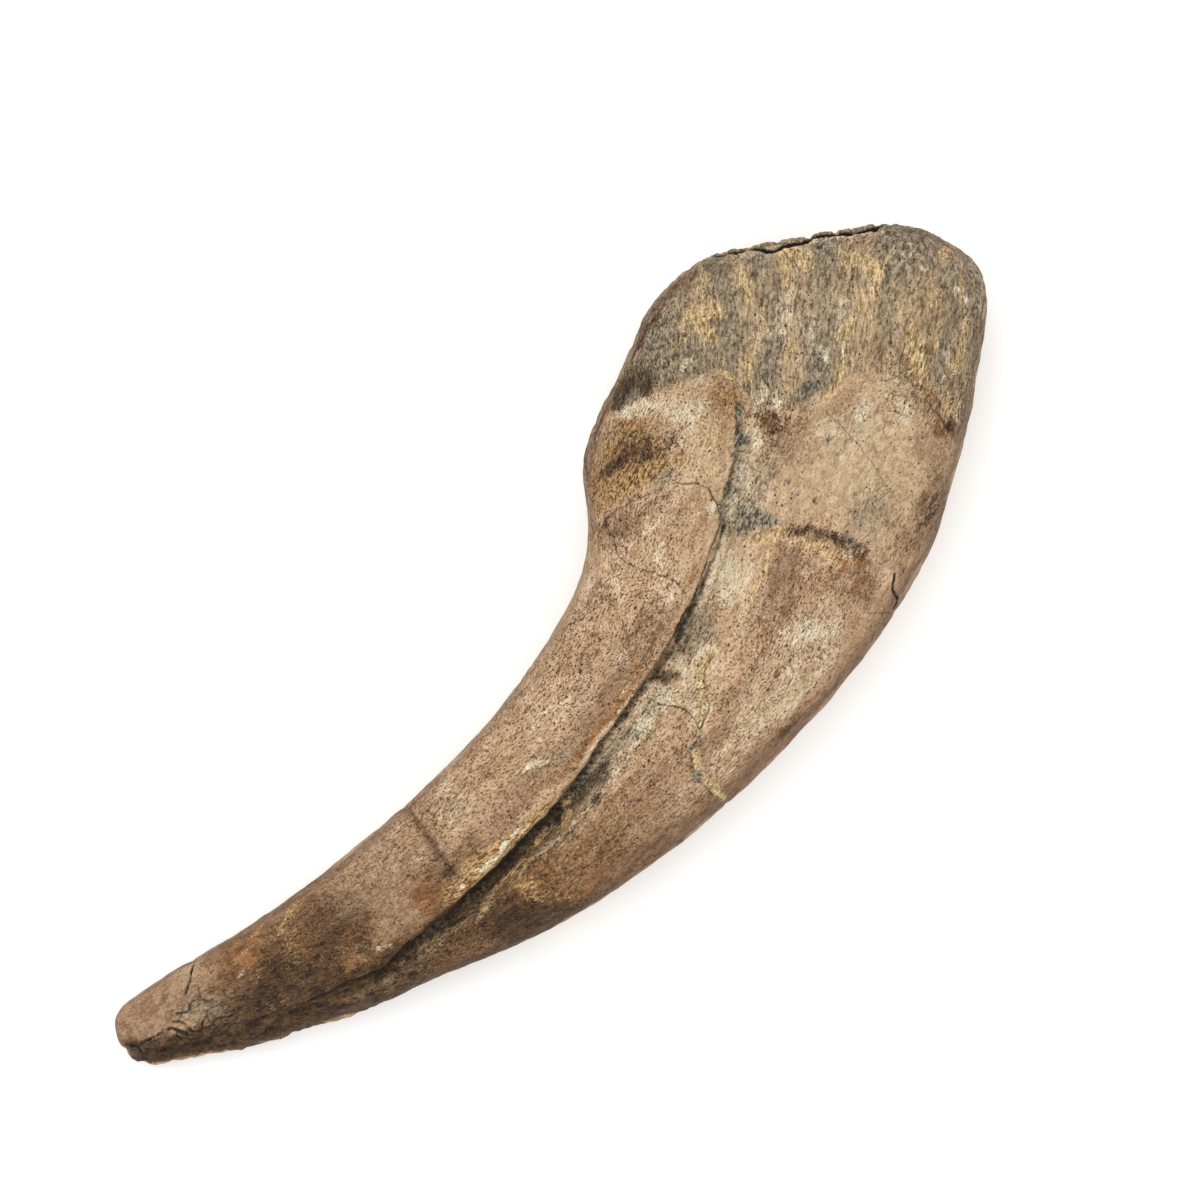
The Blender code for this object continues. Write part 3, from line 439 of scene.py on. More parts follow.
    "umber": {
        "deep": "#2A1C0F", "pale": "#5A4026", "weave": "streak", "edge": "crumb",
        "breakUp": 2, "grainy": -1.4, "soft": 0.45, "below": 14,
        "patches": (
            (-73, 7, 8, 6, -20, 0.7), (-62, -5, 14, 4, -25, 0.65), (-48, -12, 8, 2.4, -24, 0.5),
            (-38.5, -15.5, 4.6, 4.6, -25, 0.95), (-35, -20.5, 6, 3, -25, 0.7), (-60, 7, 6, 5, -15, 0.4),
            (-80, 8, 5, 2.4, -38, 0.65), (-64, -5.4, 8, 1.6, -28, 0.7), (-30, -9.6, 12, 1.2, -2, 0.5),
            (-64, 13.5, 5, 2, -14, 0.35), (-30, -22.5, 4, 1.4, -20, 0.5), (-29.7, -18, 0.8, 3.4, 0, 0.6),
            (-98.4, 19.3, 1.4, 1.5, 0, 1), (-74.5, 9, 4, 2.6, -20, 0.75), (-78, 10.6, 2, 1.2, 0, 0.7),
            (-70.5, 2.2, 4.6, 2, -22, 0.95), (-66, 4.5, 5, 2.4, -15, 0.55), (-60, 4, 5, 3, -15, 0.4),
            (-71, 12.4, 3, 1.6, -10, 0.5), (-78.6, 5, 3.4, 1.6, -35, 0.8), (-62, -3, 5, 1.2, -25, 0.8),
            (-58, -0.5, 1.4, 2.4, 0, 0.5), (-55.6, -4, 2, 1, 0, 0.8), (-66, -6, 5, 1.2, -28, 0.6),
            (-39, -2.2, 1.5, 1.1, -15, 0.9), (-38, 0.6, 1, 1.6, -10, 0.4), (-37, 4.4, 0.6, 2, -10, 0.2),
            (-46, -6, 5, 0.9, -12, 0.8), (-45, -9, 4, 0.9, -8, 0.8), (34, 19.9, 3.8, 1, -10, 0.7),
            (36, 20.5, 5, 3, -10, 0.45), (31, 20.8, 1.6, 0.8, 0, 0.65), (38.6, 17.6, 1.6, 2, 0, 0.5),
            (36.4, 17, 2.4, 1.4, 0, 0.45), (42.2, 15.8, 1.6, 0.9, 0, 0.6), (38.6, 18.5, 0.9, 0.45, 0, 1),
            (43.6, 28, 3.6, 1.2, 10, 0.9), (46.4, 26.4, 2, 1.9, 0, 0.9), (41, 26.6, 1, 0.8, 0, 0.8),
            (48, 28.6, 2, 0.7, 20, 0.6), (45.5, 24.2, 0.9, 0.9, 0, 0.5), (24, 15.6, 2.6, 0.35, 8, 0.7),
            (36.6, 14, 1.6, 0.4, 10, 0.6), (10.8, -9.4, 0.8, 1.2, 0, 0.5), (-10.6, -11.4, 4, 0.9, 3, 0.75),
            (-13, -13.9, 1.2, 0.6, 0, 0.8), (0.7, -24.8, 0.7, 0.8, 0, 0.5), (2.4, -20.6, 1.2, 0.4, 10, 0.7),
            (4.4, -20.7, 1, 0.4, 0, 0.6), (17.4, -31.6, 2.8, 0.7, 3, 0.8), (38, -11, 0.5, 0.4, 0, 0.8),
            # the patches at (46.2, -14) and (47.8, -18) paint the shadow of the ledge step
            (48.4, -20.6, 1.4, 1.6, 0, 0.55), (46.2, -14, 1.4, 3.4, 20, 0.35),
            (47.8, -18, 1.8, 2.4, 20, 0.35), (51.5, 2, 2, 1, 0, 0.4), (55.6, 5.4, 2.4, 2.4, 0, 0.6),
            (57, 3.6, 2.4, 0.8, 0, 0.5), (60, -26.6, 4.4, 0.8, 8, 0.6), (63.6, -25.2, 3, 0.5, 12, 0.6),
            (74.9, -18.5, 1, 1.1, 0, 0.8), (76, -15.2, 0.7, 1.3, 10, 0.4), (50, -9.3, 0.45, 0.45, 0, 1),
            (57.4, 12, 0.9, 1.4, 10, 0.6), (58, 18.6, 1.2, 0.8, 40, 0.5), (82.8, 9.8, 1, 0.4, 30, 0.5),
            (51.4, 31, 1.4, 0.5, 15, 0.8), (56, 31.4, 4, 0.4, 8, 0.5), (73.6, 24, 1.4, 0.7, 30, 0.4),
            (-58.5, 10.5, 3, 1.5, -10, 0.3),
        ),
        # the first three strips darken the lower edge from the tip on, partly as stain and partly as
        # painted shade; the fourth paints the shadow of the ledge step
        "strips": (
            (((-100, 18.8), (-97, 15.6), (-93, 13), (-89, 9.6), (-85, 6.8), (-80, 3.2), (-75, -0.3),
              (-70, -3.4), (-64, -7)), 2.6, 1),
            (((-66, -6.8), (-58, -11.4), (-50, -15.4), (-40, -20.4), (-30, -24.4), (-22, -27)), 1.1, 0.75),
            (((-12, -29.6), (-4, -31.2), (4, -32.2)), 0.8, 0.6),
            (((43.6, -10), (45.2, -11.8), (46.4, -14.6), (47.4, -17), (48.6, -19.4)), 1, 0.5),
            (((-30, -12.6), (-24, -13.5), (-17, -14.2), (-12, -14.4), (-6, -13.9), (2, -13.6)), 0.3, 0.55),
            (((38, 1.9), (42, 3.1), (46, 4.9), (50, 7.4), (53.8, 10.8)), 0.6, 0.75),
        ),
    },
    "slate": {
        "deep": "#3F3C34", "pale": "#9A8D73", "weave": "flecks", "edge": "crumb",
        "breakUp": 1.2, "grainy": -0.8, "soft": 0.4, "below": 12,
        "patches": (
            (39.6, -2.6, 2.6, 2.6, 20, 0.9), (42.6, -6.4, 1.9, 1.3, 0, 1), (42, -3, 2, 2.6, 0, 0.75),
            (42.6, -3.6, 0.8, 1.4, 0, 0.8), (38.6, -1, 1.4, 1.6, 0, 0.7), (40.6, 1.8, 3, 1.2, 15, 0.7),
            (44.6, 3.2, 3, 1.2, 25, 0.55), (43.4, -0.4, 1.2, 2, 0, 0.45), (48, 4.6, 4, 1.3, 28, 0.4),
            (49.6, 7, 3, 0.8, 32, 0.9), (52.8, 9.9, 1.4, 0.9, 35, 0.95), (50.4, 5.8, 0.9, 0.7, 0, 0.8),
            (49.6, -4, 0.8, 0.4, 0, 0.9), (46.6, 0.8, 0.5, 0.4, 0, 0.8), (59.6, -4.2, 1, 0.6, 0, 0.7),
            (64, 3.4, 2.6, 1, -12, 0.7), (66, 2.2, 0.9, 0.8, 0, 0.6), (68.6, 5, 1.4, 1.6, 10, 0.6),
            (69, 7, 1.6, 0.8, 30, 0.5), (84, 17.4, 1.2, 1.1, 0, 0.8), (82.6, 17, 0.7, 0.7, 0, 0.6),
            (62.2, 23.5, 0.9, 0.8, 0, 0.7), (76.4, 24.8, 2, 0.9, 10, 0.5), (47, 27, 2, 1.4, 0, 0.3),
            (58, 29.6, 4, 1, 15, 0.4), (61.6, 12, 3, 1, 32, 0.4), (57.6, 19.6, 1.6, 1, 40, 0.5),
            (81.6, -10, 2, 0.7, 28, 0.4), (92.6, 9, 2.4, 1.4, 10, 0.4), (-48, -6.8, 3, 0.6, -10, 0.4),
            (1, -24.6, 1, 1, 0, 0.9), (4.2, -20.6, 1, 0.5, 0, 0.8), (47.8, -17, 0.6, 1.5, 20, 0.25),
            (-12, -10.2, 5, 0.7, 3, 0.6), (18.6, -7.4, 2.4, 0.7, 25, 0.7), (14.8, -8.4, 1.2, 0.7, 10, 0.6),
            (48.5, -18.2, 1, 1.6, 0, 0.5), (53.4, -18.6, 3, 1.6, 0, 0.3),
        ),
        "strips": (),
    },
    "ivory": {
        "deep": "#CFC0A0", "pale": "#E9DEC6", "weave": "dash", "edge": "crumb",
        "breakUp": 1.6, "grainy": 1, "soft": 0.4, "below": 10,
        "patches": (
            (40, 0.4, 2.4, 1.6, 30, 0.4), (42.4, -1.6, 1.4, 1.2, 0, 0.4), (45.4, 3.6, 2, 0.8, 25, 0.45),
            (-34, -6.7, 1.9, 0.4, -8, 1), (-29.4, -6.9, 1.1, 0.45, 0, 1), (-39.6, -5.9, 1, 0.25, -10, 0.8),
            (-26.6, -7, 1.4, 0.25, -6, 0.8), (-25.6, -7.7, 1.3, 0.2, -5, 0.8),
            (-38.6, -5, 0.7, 0.25, 0, 0.7), (-32, -7.2, 1.4, 0.2, -6, 0.7),
            (-36.4, -5.6, 0.8, 0.2, -10, 0.7), (93.3, -7.5, 0.9, 0.4, 30, 1),
            (93.7, -5.4, 0.35, 0.6, 0, 0.9), (92.5, 1.6, 0.3, 0.5, 0, 0.9), (72.4, 3, 1.1, 0.4, 35, 0.7),
            (-56.8, -1.6, 0.7, 0.5, 0, 0.4), (-55.4, -3, 0.4, 0.35, 0, 0.4), (11.2, -18, 0.6, 0.5, 0, 0.9),
            (13, -14.8, 0.5, 0.4, 0, 0.8), (24.8, 5, 0.5, 0.35, 0, 0.8), (58.6, -8.2, 0.45, 0.35, 0, 0.9),
            (47.6, 20, 1, 0.8, -50, 0.25), (43.4, 23.6, 1, 0.5, -40, 0.3), (31.5, -5.6, 1.6, 0.8, 20, 0.4),
            (7.6, -10.6, 1, 0.8, 0, 0.5), (-40, -11.4, 0.8, 0.25, 0, 0.8), (70, 5, 0.8, 0.4, 20, 0.6),
        ),
        "strips": (
            (((-9.8, -7.8), (-6, -7.6), (-1, -7.2), (3, -6.9), (6.6, -6.6)), 0.2, 0.4),
        ),
    },
}

# How thick small features lie: a level for the whole claw, then patches and strips as above
textures = {
    "pits": {"level": 0.18, "below": 16, "strips": (), "patches": (
        (8, 3, 16, 6, 8, 0.9), (20, 3, 8, 7, 20, 0.5), (-6, -2, 8, 4, 0, 0.4), (30, 6, 7, 5, 0, 0.5),
        (35, 18, 8, 7, 0, 0.9), (46, 18, 5, 5, 0, 0.35), (33, 20, 6, 4, 0, 0.7), (50, 26, 8, 5, 20, 0.9),
        (60, 24, 8, 7, 30, 0.7), (53, 15, 5, 5, 0, 0.6), (57, 5, 6, 4, 0, 0.7), (44, -2, 5, 6, 0, 0.5),
        (10, -12, 12, 4, 5, 0.6), (0, -19, 24, 5, -2, 0.5), (30, -17, 14, 6, 5, 0.6),
        (55, -20, 6, 4, 0, 0.5), (62, -12, 10, 10, 0, 0.2), (80, -15, 8, 4, 30, 0.7),
        (88, -12, 10, 3, 30, 0.6), (72, 8, 10, 8, 0, 0.4), (66, 16, 8, 5, 0, 0.4), (90, 5, 8, 8, 0, 0.4),
    )},
    "dashes": {"level": 0.3, "below": 16, "strips": (), "patches": (
        (-25, 6, 22, 4, -4, 0.7), (-50, 11, 14, 3, -13, 0.8), (5, 8, 16, 3, 5, 0.8),
        (12, 5, 10, 5, 10, 0.5), (-8, 5, 12, 4, 0, 0.4), (29, 18, 7, 5, 0, 0.6), (42, 28, 10, 2, 10, 0.9),
        (35, 20, 5, 3, 0, 0.8), (54, 27, 9, 5, 20, 0.9), (52, 12, 6, 6, 0, 0.5), (57, 6, 6, 4, 0, 0.9),
        (45, 1, 8, 4, 0, 0.5), (76, -14, 4, 5, 0, 0.7), (85, -14, 12, 3, 30, 0.8), (96, 2, 4, 8, 0, 0.7),
        (85, 2, 9, 4, 25, 0.5), (88, 14, 8, 4, -30, 0.6), (62, 29, 9, 4, 0, 0.7), (62, 10, 7, 4, 30, 0.6),
        (70, 18, 8, 6, 30, 0.4), (60, -25, 10, 3, 10, 0.6), (-15, -12, 14, 2, 0, 0.6),
        (-60, 0, 14, 6, -20, 0.3), (-86, 13, 6, 4, -30, 0.4),
    )},
    "crackle": {"level": 0, "below": 5, "strips": (), "patches": (
        (-86, 14.5, 6, 4, -30, 0.9), (-80, 10, 5, 3, -30, 0.5), (-93, 17, 4, 2, -20, 0.5),
        (7, -10.8, 4, 2, 0, 0.7), (13, -15, 4, 2, 40, 0.9), (3, -23, 2, 3, 0, 0.7), (66, -9, 8, 9, 0, 0.5),
        (73, -9, 4, 7, 0, 0.65), (69, 16, 8, 7, 30, 0.5), (54, 13, 4, 4, 0, 0.6), (60, -26, 8, 2, 8, 0.6),
        (76, 12, 9, 4, 28, 0.3), (-73, 9, 6, 4, -15, 0.3), (38, -2, 3, 4, 0, 0.4),
    )},
    "crisp": {"level": 0.35, "below": 8, "strips": (), "patches": (
        (5, 4, 30, 8, 4, 1), (32, 18, 11, 9, 20, 1), (46, 12, 9, 6, 25, 0.4), (50, 27, 10, 6, 10, 0.6),
        (10, -9, 18, 4, 6, 0.7), (-5, -20, 30, 8, -2, 0.5), (28, -20, 18, 9, 0, 0.6),
        (-25, 0, 18, 9, 0, 0.6), (-50, 9, 14, 4, -12, 0.4), (-68, 4, 14, 8, -20, 0.4),
        (-45, -12, 14, 4, -22, 0.4), (42, -14, 6, 8, 0, 0.5), (78, -12, 5, 8, 20, 0.4),
        (56, 4, 5, 4, 0, 0.6),
    )},
}

# Where a patch of the hidden flank may lie and how large it may be, in a patch's own order
hiddenPatch = ((-95, 95), (-30, 28), (2, 9), (1, 4), (-30, 30), (0.5, 1.0))

clawMesh = {
    "seam": 0.000001,  # m, CAD triangles meet within this
    "roundingLevels": 2,
    "voxel": 1.05 * mm,
    "fineAbove": -0.15,  # faces that rise more than this get the fine mesh
    "finestAbove": 0.1,  # and those near a seam that rise more than this the finest
    "seamReach": 0.7,  # mm each side of a crack that gets the finest mesh
    "lipExtra": 0.45,  # mm more of it each side of the groove's lip
    # mm high, mm long, octaves, place in the noise
    "lumps": {
        "swells": (0.22, 16.0, 3, 0.0), "bumps": (0.15, 3.6, 4, 7.0), "fibres": (0.16, 1.6, 3, 2.0),
        "ledgeCrumbs": (0.4, 2.2, 4, 12.0), "rimLayers": (0.16, 0.9, 3, 17.0),
        "sliverCrumbs": (0.3, 1.4, 2, 4.0), "jointBumps": (0.35, 4.0, 4, 81.0),
        "flankEdge": (0.25, 9.0, 3, 51.0),  # where the stains of both flanks meet, not in mm but in rise
    },
    # what bends lines and patches: mm long, mm far, place in the noise
    "wander": ((2.2, 0.3, 0.0), (0.8, 0.16, 9.0)), "grooveWander": ((5.0, 0.3, 3.0),),
    "crustWander": ((6.0, 1.6, 5.0), (1.6, 0.7, 15.0)), "grainSway": ((7.0, 0.8, 41.0),),
    "stainPush": ((9.0, 2.0, 21.0), (2.5, 0.9, 31.0)), "steepPush": ((11.0, 14.0, 61.0), (3.0, 4.0, 71.0)),
    "grooveShare": 0.7, "ledgeShare": 1.5, "endShare": 0.35,  # of the wander in each line
    # mm, where along the claw each sets in and where it is full
    "crustFrom": 30.0, "tipFrom": (-56.0, -66.0), "ledgeFrom": (-62.0, -78.0), "jointFrom": (58.0, 68.0),
    "cupsFrom": (50.0, 65.0), "cupsBelow": (20.0, 14.0),
    "stretch": 0.12,  # share of its length that a fibre or a layer of the rim shows to the noise
    "notch": (0.3, 1.0, 0.6),  # share of the groove's depth, mm under the lip, mm wide
    "lipRidge": (0.12, -0.5, 0.45),  # mm high, mm under the lip, mm wide
    "fanCentre": (-61.5, -84.6), "fanRadius": 165.0,  # mm, from where the fibres of the base fan out
    "crustStep": 0.12, "ledgeDrop": 0.7, "sliverDrop": 0.5,  # mm down
    "jointFacing": (0.64, 0.77, 0.0),  # way that the joint face looks
    "jointHoles": (0.35, 1.7, 2, 91.0),  # mm deep, mm apart, octaves, place in the noise
    "hollowRings": 8,  # how many edges away the surroundings of a vertex reach
    "seed": 11,  # of what pushes lines and patches, and of the hidden flank's patches
}

# Lip of the groove from the base to the tip: x, y, depth, darkness and width of the painted shadow under
# the lip
grooveLip = smoothLine((
    (60, 17, 0, 0, 0.5), (57, 15, 0.2, 0.2, 0.5), (53, 10.7, 0.6, 0.5, 0.6), (48, 6.6, 1, 0.35, 0.5),
    (42, 3.8, 1.3, 0.4, 0.5), (36, 0.3, 1.5, 0.75, 0.45), (30, -1.9, 1.7, 0.7, 0.5),
    (25, -3.8, 1.9, 0.8, 0.6), (20, -4.9, 2.1, 0.9, 0.9), (15, -6, 2.4, 0.75, 0.8),
    (10, -6.8, 2.6, 0.6, 0.7), (0, -7.5, 2.9, 0.6, 0.6), (-7, -8.2, 3.1, 0.8, 0.9), (-15, -9, 3.4, 1, 1.8),
    (-22, -8.8, 3.4, 1, 2.2), (-30, -8.2, 3.3, 1, 2.1), (-38, -7.4, 3, 0.95, 2),
    (-45, -6.5, 2.6, 0.75, 1.8), (-52, -5.3, 2.2, 0.95, 0.9), (-58, -4.5, 1.8, 1, 0.8),
    (-65, -2.1, 1.4, 0.95, 0.6), (-72, 1.2, 0.8, 0.5, 0.5), (-80, 6, 0.2, 0.1, 0.5), (-86, 11, 0, 0, 0.5),
))

# Edge of the smooth crust: the fibrous base lies on its right
crustEdge = (
    (74, -26), (75, -20), (75.2, -12), (74.6, -5), (70, -1), (66, 1), (60, 4), (57.5, 8), (56, 12),
    (56.8, 17), (50, 21.5), (44, 25), (40.5, 31),
)

# Top of the broken, crumbling band of the tip, which drops away on its right
tipLedge = (
    (-102, 21), (-98.5, 20.2), (-96, 18.8), (-93, 17.8), (-91.2, 16.6), (-90.5, 14.3), (-89, 11.6),
    (-86, 10.1), (-84, 9.2), (-82, 8.2), (-79, 6.2), (-77, 4.8), (-74, 2.7), (-70, -0.6), (-66, -4.5),
    (-60, -9),
)

# Splintered rim of the lobe, whose layers run along it
rimLine = (
    (25, 19.5), (28, 23.4), (31, 26), (35, 27.8), (42, 29.4), (50, 31.4), (58, 32.8), (66, 32.6),
)

# Small losses along the outline: x, y, radius, depth
nicks = (
    (-99.6, 20.7, 0.8, 0.7), (-99, 17, 0.7, 0.5), (-95.6, 13.4, 0.6, 0.2), (-90.4, 9, 0.6, 0.2),
    (-86.6, 6.6, 0.5, 0.2), (-80, 21.6, 0.6, 0.12), (-36, 10.9, 0.7, 0.15), (-6.4, 9.4, 0.6, 0.15),
    (36.2, 28.4, 0.7, 0.25), (41.4, 29.6, 0.6, 0.2), (50.4, 31.8, 0.7, 0.25), (84.4, 20.8, 0.7, 0.5),
    (95.4, 11.4, 0.7, 0.4), (72.6, 30.6, 0.7, 0.35), (44.6, -33, 0.7, 0.3), (0.4, -31.9, 0.6, 0.2),
    (98.6, -7.6, 0.6, 0.2),
)

# Cracks of the upper flank: line, width, depth, darkness
cracks = {
    "end": (((71.5, 31.2), (73, 30.1), (75, 28.3), (77.2, 26), (77.7, 24.6), (78.9, 23.4), (80.5, 22.8),
             (81.2, 22), (83, 20.7), (84.7, 20.2), (86, 18.9), (88, 17.1), (90, 15), (92, 13.4),
             (93.2, 12.7), (95, 11.8)), 0.85, 1.7, 1.7),
    "ledge": (((43.3, -9.8), (44.6, -10.8), (45.6, -12.6), (46.4, -15), (47.3, -17.3), (48.6, -19.6),
               (49.4, -22)), 2.2, 0.4, 0),
    "ledgeEnd": (((49.4, -22), (49.7, -25), (50, -27.5), (49.4, -28.4)), 0.4, 0.2, 0.2),
    "chip": (((49.3, -28.3), (48.3, -29), (47.6, -29.4), (47, -30.3), (46.6, -31.2), (45.6, -31.8),
              (44.6, -32.3)), 0.45, 0.5, 0.85),
    "chipSide": (((41, -28.3), (42.3, -30.2), (43.5, -31.6), (44.6, -32.6)), 0.3, 0.25, 0.4),
    "shaft": (((22.5, 12), (21.3, 9.8), (21.8, 6.3), (22.7, 4), (23.9, 1), (24, -1),
               (23.7, -2.8)), 0.22, 0.25, 0.62),
    "lobe": (((24.6, 16.2), (27, 15.2), (29, 14.6), (31.6, 13.6), (34, 12.2), (36, 11.4),
              (37.6, 10.2)), 0.26, 0.18, 0.6),
    "lobeEnd": (((37.2, 10.5), (38.2, 9), (39.1, 7.7), (39.8, 5.7), (39.4, 4.4), (38.8, 3),
                 (37.8, 1.4)), 0.3, 0.35, 0.55),
    "underLip": (((8, -8.2), (12, -7.9), (16, -7.2), (20, -6.1), (25, -5), (30, -3.2), (34, -1.9),
                  (37, -0.7)), 0.4, 0.2, 0.5),
    "underLipThin": (((25, -5.2), (28, -5), (31, -4.7), (34, -3.6), (37, -2.7)), 0.25, 0.1, 0.35),
    "rimOuter": (((26.6, 22.6), (29, 24.8), (33, 27), (36.4, 28.2), (40, 28.8), (44, 29.4), (49, 30.4),
                  (53, 31.4), (58, 32.2)), 0.35, 0.3, 0.55),
    "rimInner": (((34, 26.4), (38, 27.6), (43, 28.2), (48, 29.2), (52, 30.6)), 0.3, 0.2, 0.4),
    "lobeTop": (((22.5, 12), (23.6, 14.6), (24.8, 16)), 0.24, 0.15, 0.5),
    "veinA": (((5.8, -9.3), (6.2, -11.8), (7.2, -13), (8.2, -15), (8.4, -17), (7.8, -19),
               (7.2, -20)), 0.25, 0.3, 0.7),
    "veinB": (((-0.2, -9.8), (0.5, -12.3)), 0.22, 0.2, 0.5),
    "veinC": (((18.4, -11.8), (16, -12.4), (13.2, -13.6), (11.2, -15.4), (10.4, -17.2),
               (8.6, -18.6)), 0.2, 0.15, 0.3),
    "veinD": (((18.6, -13.2), (15.8, -13.8), (14, -15), (12.6, -16.8), (11.2, -18.6), (8.8, -19.2),
               (7, -20.4), (4.4, -20.6), (3, -20.4)), 0.35, 0.25, 0.5),
    "veinE": (((3.6, -20.8), (2, -22.6), (0.6, -24.4), (0.3, -26.4), (0.4, -30.4)), 0.25, 0.2, 0.45),
    "flake": (((-34.6, 11), (-35.8, 8), (-36.4, 5), (-37.4, 2), (-38.5, -1), (-39, -3.5)), 0.8, 0.18, 0.3),
    "scratch": (((-52, 5.2), (-49, 4), (-46.5, 2.8), (-43.4, 2.1)), 0.25, 0.15, 0.42),
    "tipA": (((-79.4, 21.3), (-81, 20.7), (-83, 19.6), (-84.8, 18.9)), 0.35, 0.45, 0.7),
    "tipB": (((-82.8, 18), (-83.6, 16.8), (-85, 15.9)), 0.7, 0.35, 0.25),
    "tipC": (((-84.6, 14.2), (-85.4, 13.6), (-86, 12.2), (-85.8, 11)), 0.7, 0.35, 0.25),
    "tipD": (((-96.6, 19.2), (-94.5, 18.4), (-92.6, 17.6), (-91.2, 17), (-90.6, 15.6),
              (-90.2, 14)), 0.7, 0.5, 0.75),
    "tipG": (((-88.4, 17.8), (-87, 16.6), (-85.6, 17.2), (-84, 16.2), (-83, 14.6)), 0.5, 0.3, 0.55),
    "tipH": (((-88, 13), (-86.2, 11.6), (-84.6, 12), (-83, 10.4), (-81, 10)), 0.5, 0.3, 0.55),
    "tipI": (((-90, 17.4), (-89, 15.8), (-89.4, 14), (-88, 12.6), (-86.4, 13.6)), 0.5, 0.35, 0.6),
    "tipJ": (((-82, 16.4), (-80.4, 14.6), (-80.8, 12.6), (-79, 11.4)), 0.4, 0.2, 0.45),
    "tipE": (((-99, 21.2), (-98, 20.2), (-97.4, 19.4), (-98.4, 18)), 0.7, 0.5, 0.7),
    "tipF": (((-91, 15.5), (-91.8, 14.4), (-91, 13), (-89.6, 12)), 0.6, 0.4, 0.5),
    "grooveEnd": (((-74, 2.6), (-71, 1.2), (-68, -0.3), (-65.5, -1.3), (-63, -2.8), (-60, -4.4), (-57, -5),
                   (-53, -5.4)), 0.7, 0.45, 0.7),
    "lowerEdge": (((74.9, -10.5), (75.3, -13), (75, -16.5), (74.3, -19.8)), 0.6, 0.3, 0.2),
    "smoothA": (((63, -1), (62.6, -6), (61.4, -12), (60, -17), (59, -21)), 0.25, 0.1, 0.5),
    "smoothB": (((51.5, -4), (52, -10), (54.5, -13.5), (56, -14.4)), 0.25, 0.1, 0.5),
    "lowerShaft": (((34, -20), (32.6, -23.4), (30.6, -27), (28.4, -29.6)), 0.25, 0.1, 0.3),
    "lowerRing": (((56.6, -26.4), (54, -29.6), (52.4, -30.6)), 0.25, 0.12, 0.35),
}


def layMesh(node):
    # an even mesh of quads over the CAD solid, finer on the upper flank and finest at its cracks
    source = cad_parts[node]
    piece = bpy.data.objects.new("fossil_claw", source.data.copy())
    target = bpy.data.objects.new("rounded_claw", source.data.copy())
    levels = clawMesh["roundingLevels"]
    for thing in (piece, target):
        bpy.context.scene.collection.objects.link(thing)
        editFaces(thing, everyFace(thing), bpy.ops.mesh.remove_doubles, threshold=clawMesh["seam"])
        editFaces(thing, everyFace(thing), bpy.ops.mesh.tris_convert_to_quads)
        applyModifier(thing, "SUBSURF", levels=levels, render_levels=levels)
    applyModifier(piece, "REMESH", mode="VOXEL", voxel_size=clawMesh["voxel"])
    normals = readFaces(piece.data)[1]
    editFaces(piece, normals[:, up] > clawMesh["fineAbove"], bpy.ops.mesh.subdivide, number_cuts=1,
              ngon=False)
    applyModifier(piece, "SHRINKWRAP", target=target, wrap_method="NEAREST_SURFACEPOINT")
    middles, normals = readFaces(piece.data)
    near = measureFrom(grooveLip, middles).gap - clawMesh["lipExtra"]
    for line, *_ in cracks.values():
        near = np.minimum(near, measureFrom(smoothLine(line, 2), middles).gap)
    chosen = (near < clawMesh["seamReach"]) & (normals[:, up] > clawMesh["finestAbove"])
    editFaces(piece, chosen, bpy.ops.mesh.subdivide, number_cuts=1, ngon=False)
    applyModifier(piece, "SHRINKWRAP", target=target, wrap_method="NEAREST_SURFACEPOINT")
    bpy.data.objects.remove(target)
    return piece


def lumpy(spots, kind):
    # relief of one kind of lump, mm
    height, size, octaves, shift = clawMesh["lumps"][kind]
    return height * cloud(spots, size, octaves, shift)


def measureGroove(spots):
    # adds the groove's depth and the darkness and width of the painted shadow under its lip; offset is
    # positive under the lip
    groove = measureFrom(grooveLip, spots)
    starts = lineSteps(grooveLip)[1]
    depth, darkness, width = (np.interp(groove.place, starts, grooveLip[:, column]) for column in (2, 3, 4))
    groove.depth = depth * (groove.past < 0.5)
    groove.darkness = darkness * smoothStep(1.0, 0.0, groove.past)
    groove.width = width
    return groove


def crackProfile(spots, wander):
    # depth of all cracks and how dark their shadow and dirt is, 0 to 1
    sink, dark = np.zeros(len(spots)), np.zeros(len(spots))
    for name, (line, width, depth, darkness) in cracks.items():
        share = clawMesh["endShare"] if name == "end" else 1.0
        crack = measureFrom(smoothLine(line, 3), spots + wander * share)
        fade = smoothStep(1.0, 0.0, crack.past)
        sink = np.maximum(sink, depth * fade * np.clip(1.0 - crack.gap / (0.75 * width), 0.0, 1.0))
        dark = np.maximum(dark, darkness * fade * smoothStep(0.85 * width, 0.3 * width, crack.gap))
    return sink, dark


def tipRelief(spots, rise, wander):
    # the tip's broken band drops from a ledge and crumbles, rougher towards the edge
    ledge = measureFrom(smoothLine(tipLedge), spots + wander * clawMesh["ledgeShare"])
    broken = smoothStep(0.0, 0.8, -ledge.offset) * smoothStep(0.5, 0.0, ledge.past)
    broken *= smoothStep(-0.5, 0.0, rise)
    broken *= smoothStep(*clawMesh["tipFrom"], spots[:, along])
    facing = smoothStep(0.1, 0.6, rise)
    drop = clawMesh["ledgeDrop"] * smoothStep(*clawMesh["ledgeFrom"], spots[:, along]) * facing
    return broken * (lumpy(spots, "ledgeCrumbs") * (0.8 + 0.2 * facing) - drop)


def rimRelief(spots):
    # thin layers of the splintered rim
    rim = measureFrom(smoothLine(rimLine), spots)
    layers = np.stack([rim.place * clawMesh["stretch"], rim.offset, spots[:, up]], axis=1)
    return lumpy(layers, "rimLayers") * smoothStep(2.6, 1.2, rim.gap) * smoothStep(1.0, 0.0, rim.past)


